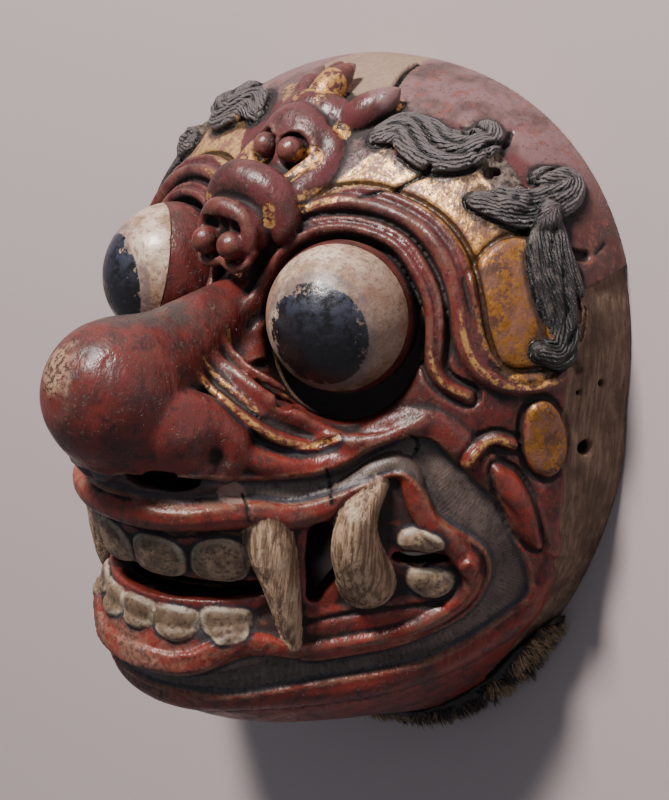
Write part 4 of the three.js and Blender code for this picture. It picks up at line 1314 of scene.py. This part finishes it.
def haired_hide():
    """Short stiff hair in black and tan tufts over dark leather."""
    m = Paint("haired_hide")
    tone = m.shape("tone")
    tip = m.shape("tip")
    speck = m.noise(1.4, 3, 0.6)
    lit = m.rise(m.math("ADD", tone, m.times(m.math("SUBTRACT", speck, 0.5), 0.7)), 0.35, 0.75)
    colour = m.mix(lit, rgb(34, 29, 27), rgb(146, 116, 86))
    colour = m.mix(m.times(tip, 0.5), colour, m.mix(lit, rgb(70, 60, 54), rgb(190, 164, 130)))
    colour = m.mix(m.rise(tip, 0.3, 0.0, 0, 0.75), colour, rgb(24, 18, 15))
    rough = m.rise(m.noise(4, 2), 0.3, 0.7, 0.5, 0.75)
    return m.finish(colour, rough, m.noise(0.7, 3, stretch=(1, 1, 4)), 0.3)


# The strip of hide under the jaw, and its hair

HIDE_HALF_ANGLE = 57  # degrees each side of straight down
HIDE_RINGS = 90
HAIRS = 5200
TUFTS = 210
HAIR_RINGS = 3
HAIR_SEED = 4
REACH_OF_RIM = 105  # about how far the rim is from the middle line, to turn angles into mm


def under_rim(angle, z, proud):
    """Points outside the plain block's rim in the direction of an angle, at height z.

    The block's edge is found by halving a stretch of the ray again and again.
    """
    across, along_y = np.cos(angle), np.sin(angle)
    low = np.full(len(angle), 40.0)
    high = np.full(len(angle), 140.0)
    for _ in range(18):
        middle = (low + high) / 2
        within = block(np.abs(middle * across), middle * along_y, z) < 0
        low = np.where(within, middle, low)
        high = np.where(within, high, middle)
    r = low + proud
    return np.stack([r * across, r * along_y, z], 1)


def hide_base():
    """The leather: one closed section carried along the rim, thinner towards its ends."""
    section = np.array([(1, 0.2), (1, 2.6), (4.5, 3.6), (9, 3.8), (13, 2.8), (15, 1.2), (15, 0.2)])
    turn = np.radians(np.linspace(-90 - HIDE_HALF_ANGLE, -90 + HIDE_HALF_ANGLE, HIDE_RINGS))
    ends = 1 - np.abs(np.linspace(-1, 1, HIDE_RINGS)) ** 14
    rings = []
    for z, proud in section:
        uneven = 0.5 * np.sin(31 * turn + z) + 0.35 * np.sin(57 * turn - 2 * z)
        height = 1 + (z - 1) * (0.35 + 0.65 * ends) * (1 + 0.06 * np.sin(23 * turn))
        thick = np.maximum(proud - 0.2 + uneven * (proud > 1), 0) * (0.15 + 0.85 * ends)
        rings.append(under_rim(turn, height, 0.2 + thick))
    points = np.stack(rings, 1).reshape(-1, 3)
    n = len(section)
    i = np.arange(HIDE_RINGS - 1)[:, None] * n
    j = np.arange(n)[None, :]
    k = (j + 1) % n
    a, b, c, d = (x.ravel() for x in (i + j, i + k, i + n + k, i + n + j))
    faces = np.concatenate([np.stack([a, b, c], 1), np.stack([a, c, d], 1)])
    fan = np.arange(1, n - 1)
    first = np.stack([0 * fan, fan + 1, fan], 1)
    last = (HIDE_RINGS - 1) * n + np.stack([0 * fan, fan, fan + 1], 1)
    return points, np.concatenate([faces, first, last])


def hide_hair(random):
    """Tapered three-sided hairs that lean together in tufts: points, faces, tone and way to the tip."""
    half = math.radians(HIDE_HALF_ANGLE) * 0.985
    tuft_angle = random.uniform(-half, half, TUFTS)
    tuft_z = random.uniform(1, 15, TUFTS)
    angle = random.uniform(-half, half, HAIRS)
    z = 1.2 + 13.2 * random.uniform(0, 1, HAIRS) ** 0.9
    apart = ((angle[:, None] - tuft_angle) * REACH_OF_RIM) ** 2 + (z[:, None] - tuft_z) ** 2
    tuft = apart.argmin(1)
    root = under_rim(angle - math.pi / 2, z, 1.4)
    away = np.stack([np.sin(angle), -np.cos(angle), 0 * angle], 1)
    side = np.stack([np.cos(angle), np.sin(angle), 0 * angle], 1)
    sway = random.uniform(-0.55, 0.55, TUFTS)[tuft] + random.normal(0, 0.16, HAIRS)
    drop = random.uniform(-0.75, 0.15, TUFTS)[tuft] + random.normal(0, 0.14, HAIRS)
    pull = (tuft_angle[tuft] - angle) * REACH_OF_RIM * 0.09
    length = random.uniform(5.0, 7.4, TUFTS)[tuft] * random.uniform(0.7, 1.1, HAIRS)
    length *= 1 - 0.45 * (np.abs(angle) / half) ** 8
    way = 0.8 * away + (sway + pull)[:, None] * side
    way[:, 2] += drop
    way /= np.linalg.norm(way, axis=1, keepdims=True)
    curl = np.stack([0 * angle, 0 * angle, -0.10 + 0 * angle], 1) * length[:, None]
    thick = random.uniform(0.17, 0.3, HAIRS)
    first = np.cross(way, side)
    first /= np.linalg.norm(first, axis=1, keepdims=True)
    second = np.cross(way, first)
    points = np.empty((HAIRS, 3 * HAIR_RINGS + 1, 3))
    share = np.linspace(0, 0.75, HAIR_RINGS)
    for ring, s in enumerate(share):
        middle = root + way * (length * s)[:, None] + curl * s * s
        for corner in range(3):
            turn = corner * 2 * math.pi / 3
            out = first * math.cos(turn) + second * math.sin(turn)
            points[:, 3 * ring + corner] = middle + out * (thick * (1 - 0.6 * s))[:, None]
    points[:, -1] = root + way * length[:, None] + curl
    points[:, :, 2] = np.maximum(points[:, :, 2], 0.25)
    faces = []
    for ring in range(HAIR_RINGS - 1):
        for corner in range(3):
            a, b = 3 * ring + corner, 3 * ring + (corner + 1) % 3
            faces += [(a, b, b + 3), (a, b + 3, a + 3)]
    top = 3 * (HAIR_RINGS - 1)
    tip = 3 * HAIR_RINGS
    faces += [(top, top + 1, tip), (top + 1, top + 2, tip), (top + 2, top, tip), (0, 2, 1)]
    count = 3 * HAIR_RINGS + 1
    faces = (np.array(faces)[None] + count * np.arange(HAIRS)[:, None, None]).reshape(-1, 3)
    black_or_tan = np.sin(7.3 * tuft_angle + 1.1) * 0.35 + random.uniform(0, 1, TUFTS)
    tone = np.clip(black_or_tan[tuft] + random.normal(0, 0.12, HAIRS), 0, 1)
    tips = np.append(np.repeat(share, 3), 1.0)
    return points.reshape(-1, 3), faces, np.repeat(tone, count), np.tile(tips, HAIRS)


# Build the two pieces

near_half = open_up(carve())
far_half = Carving(near_half.g.copy())
far_half.add(FAR_OUTER_LEAF, 0.5)
near_half.add(OUTER_LEAF, 0.5)
damage(near_half)
points, quads = meshed(near_half.g, far_half.g)
mask = mesh_object("mask_visual", points, quads)
thinned(mask, MASK_TRIANGLES)
without_crumbs(mask)
surface = points_of(mask)
for name, values in painted_shapes(surface).items():
    note(mask, name, values)
on_near_side = surface[:, 0] >= 0
for name, steps, low, high in (("edge", 2, -4, 4), ("crease", 4, -7, 7)):
    bend = np.zeros(len(surface))
    for half, chosen in ((near_half, on_near_side), (far_half, ~on_near_side)):
        blurred = spread(np.clip(half.g, low, high), steps)
        plain_field = np.clip(half.g, low, high)
        bend[chosen] = sampled(blurred, surface[chosen]) - sampled(plain_field, surface[chosen])
    note(mask, name, bend if name == "edge" else -bend)
place(mask, surface)
mask.data.shade_smooth()
mask.data.materials.append(painted_wood())
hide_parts("mask")
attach(mask, "root")

base, base_faces = hide_base()
hair, hair_faces, hair_tone, hair_tip = hide_hair(np.random.default_rng(HAIR_SEED))
hide_points = np.vstack([base, hair])
hide = mesh_object("hide_visual", hide_points, np.vstack([base_faces, hair_faces + len(base)]))
note(hide, "tone", np.concatenate([np.full(len(base), 0.1), hair_tone]))
note(hide, "tip", np.concatenate([np.full(len(base), 0.12), hair_tip]))
place(hide, hide_points)
hide.data.shade_smooth()
hide.data.materials.append(haired_hide())
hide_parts("hide_strip")
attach(hide, "root")


# Stage, light and camera: the camera looks down on the lying mask as the photograph does

RIGHT = Vector((0.7145, 0.0705, -0.696)).normalized()
UP_HINT = Vector((-0.2075, 0.9710, -0.1185))
BACK = RIGHT.cross(UP_HINT).normalized()
UP = BACK.cross(RIGHT)
CAMERA_AT = (Vector((534.3, 184.2, 594.5)) + Vector(FRAME_SHIFT)) * MM
PHOTO_LONG_SIDE = 800
FOCAL_LENGTH = 2256  # in the photograph's own units
SENSOR = 36


def plain(name, colour, roughness):
    """A matt, even surface, for the floor alone."""
    material = bpy.data.materials.new(name)
    material.use_nodes = True
    shader = material.node_tree.nodes["Principled BSDF"]
    shader.inputs["Base Color"].default_value = (*colour, 1)
    shader.inputs["Roughness"].default_value = roughness
    return material


bpy.ops.mesh.primitive_plane_add(size=6)
floor = bpy.context.object
floor.name = "floor"
floor.data.materials.append(plain("paper", (0.43, 0.36, 0.36), 0.9))


def lamp(name, way, distance, size, power, colour):
    """A square soft light that faces the mask from the given direction."""
    data = bpy.data.lights.new(name, "AREA")
    data.size = size
    data.energy = power
    data.color = colour
    obj = bpy.data.objects.new(name, data)
    bpy.context.scene.collection.objects.link(obj)
    way = way.normalized()
    obj.location = Vector((0, 0, 0.05)) + way * distance
    obj.rotation_euler = way.to_track_quat("Z", "Y").to_euler()


lamp("key", -0.55 * RIGHT + 1.0 * UP + 0.75 * BACK, 1.6, 0.3, 55, (1, 0.95, 0.9))
lamp("fill", 0.9 * RIGHT + 0.2 * UP + 0.9 * BACK, 2.0, 1.6, 7, (0.9, 0.92, 1))

world = bpy.data.worlds.new("room")
bpy.context.scene.world = world
world.use_nodes = True
world.node_tree.nodes["Background"].inputs["Color"].default_value = (0.75, 0.8, 0.9, 1)
world.node_tree.nodes["Background"].inputs["Strength"].default_value = 0.26

camera_data = bpy.data.cameras.new("camera")
camera_data.sensor_width = SENSOR
camera_data.lens = FOCAL_LENGTH * SENSOR / PHOTO_LONG_SIDE
camera = bpy.data.objects.new("camera", camera_data)
camera.matrix_world = Matrix.Translation(CAMERA_AT) @ Matrix((RIGHT, UP, BACK)).transposed().to_4x4()
bpy.context.scene.collection.objects.link(camera)
bpy.context.scene.camera = camera
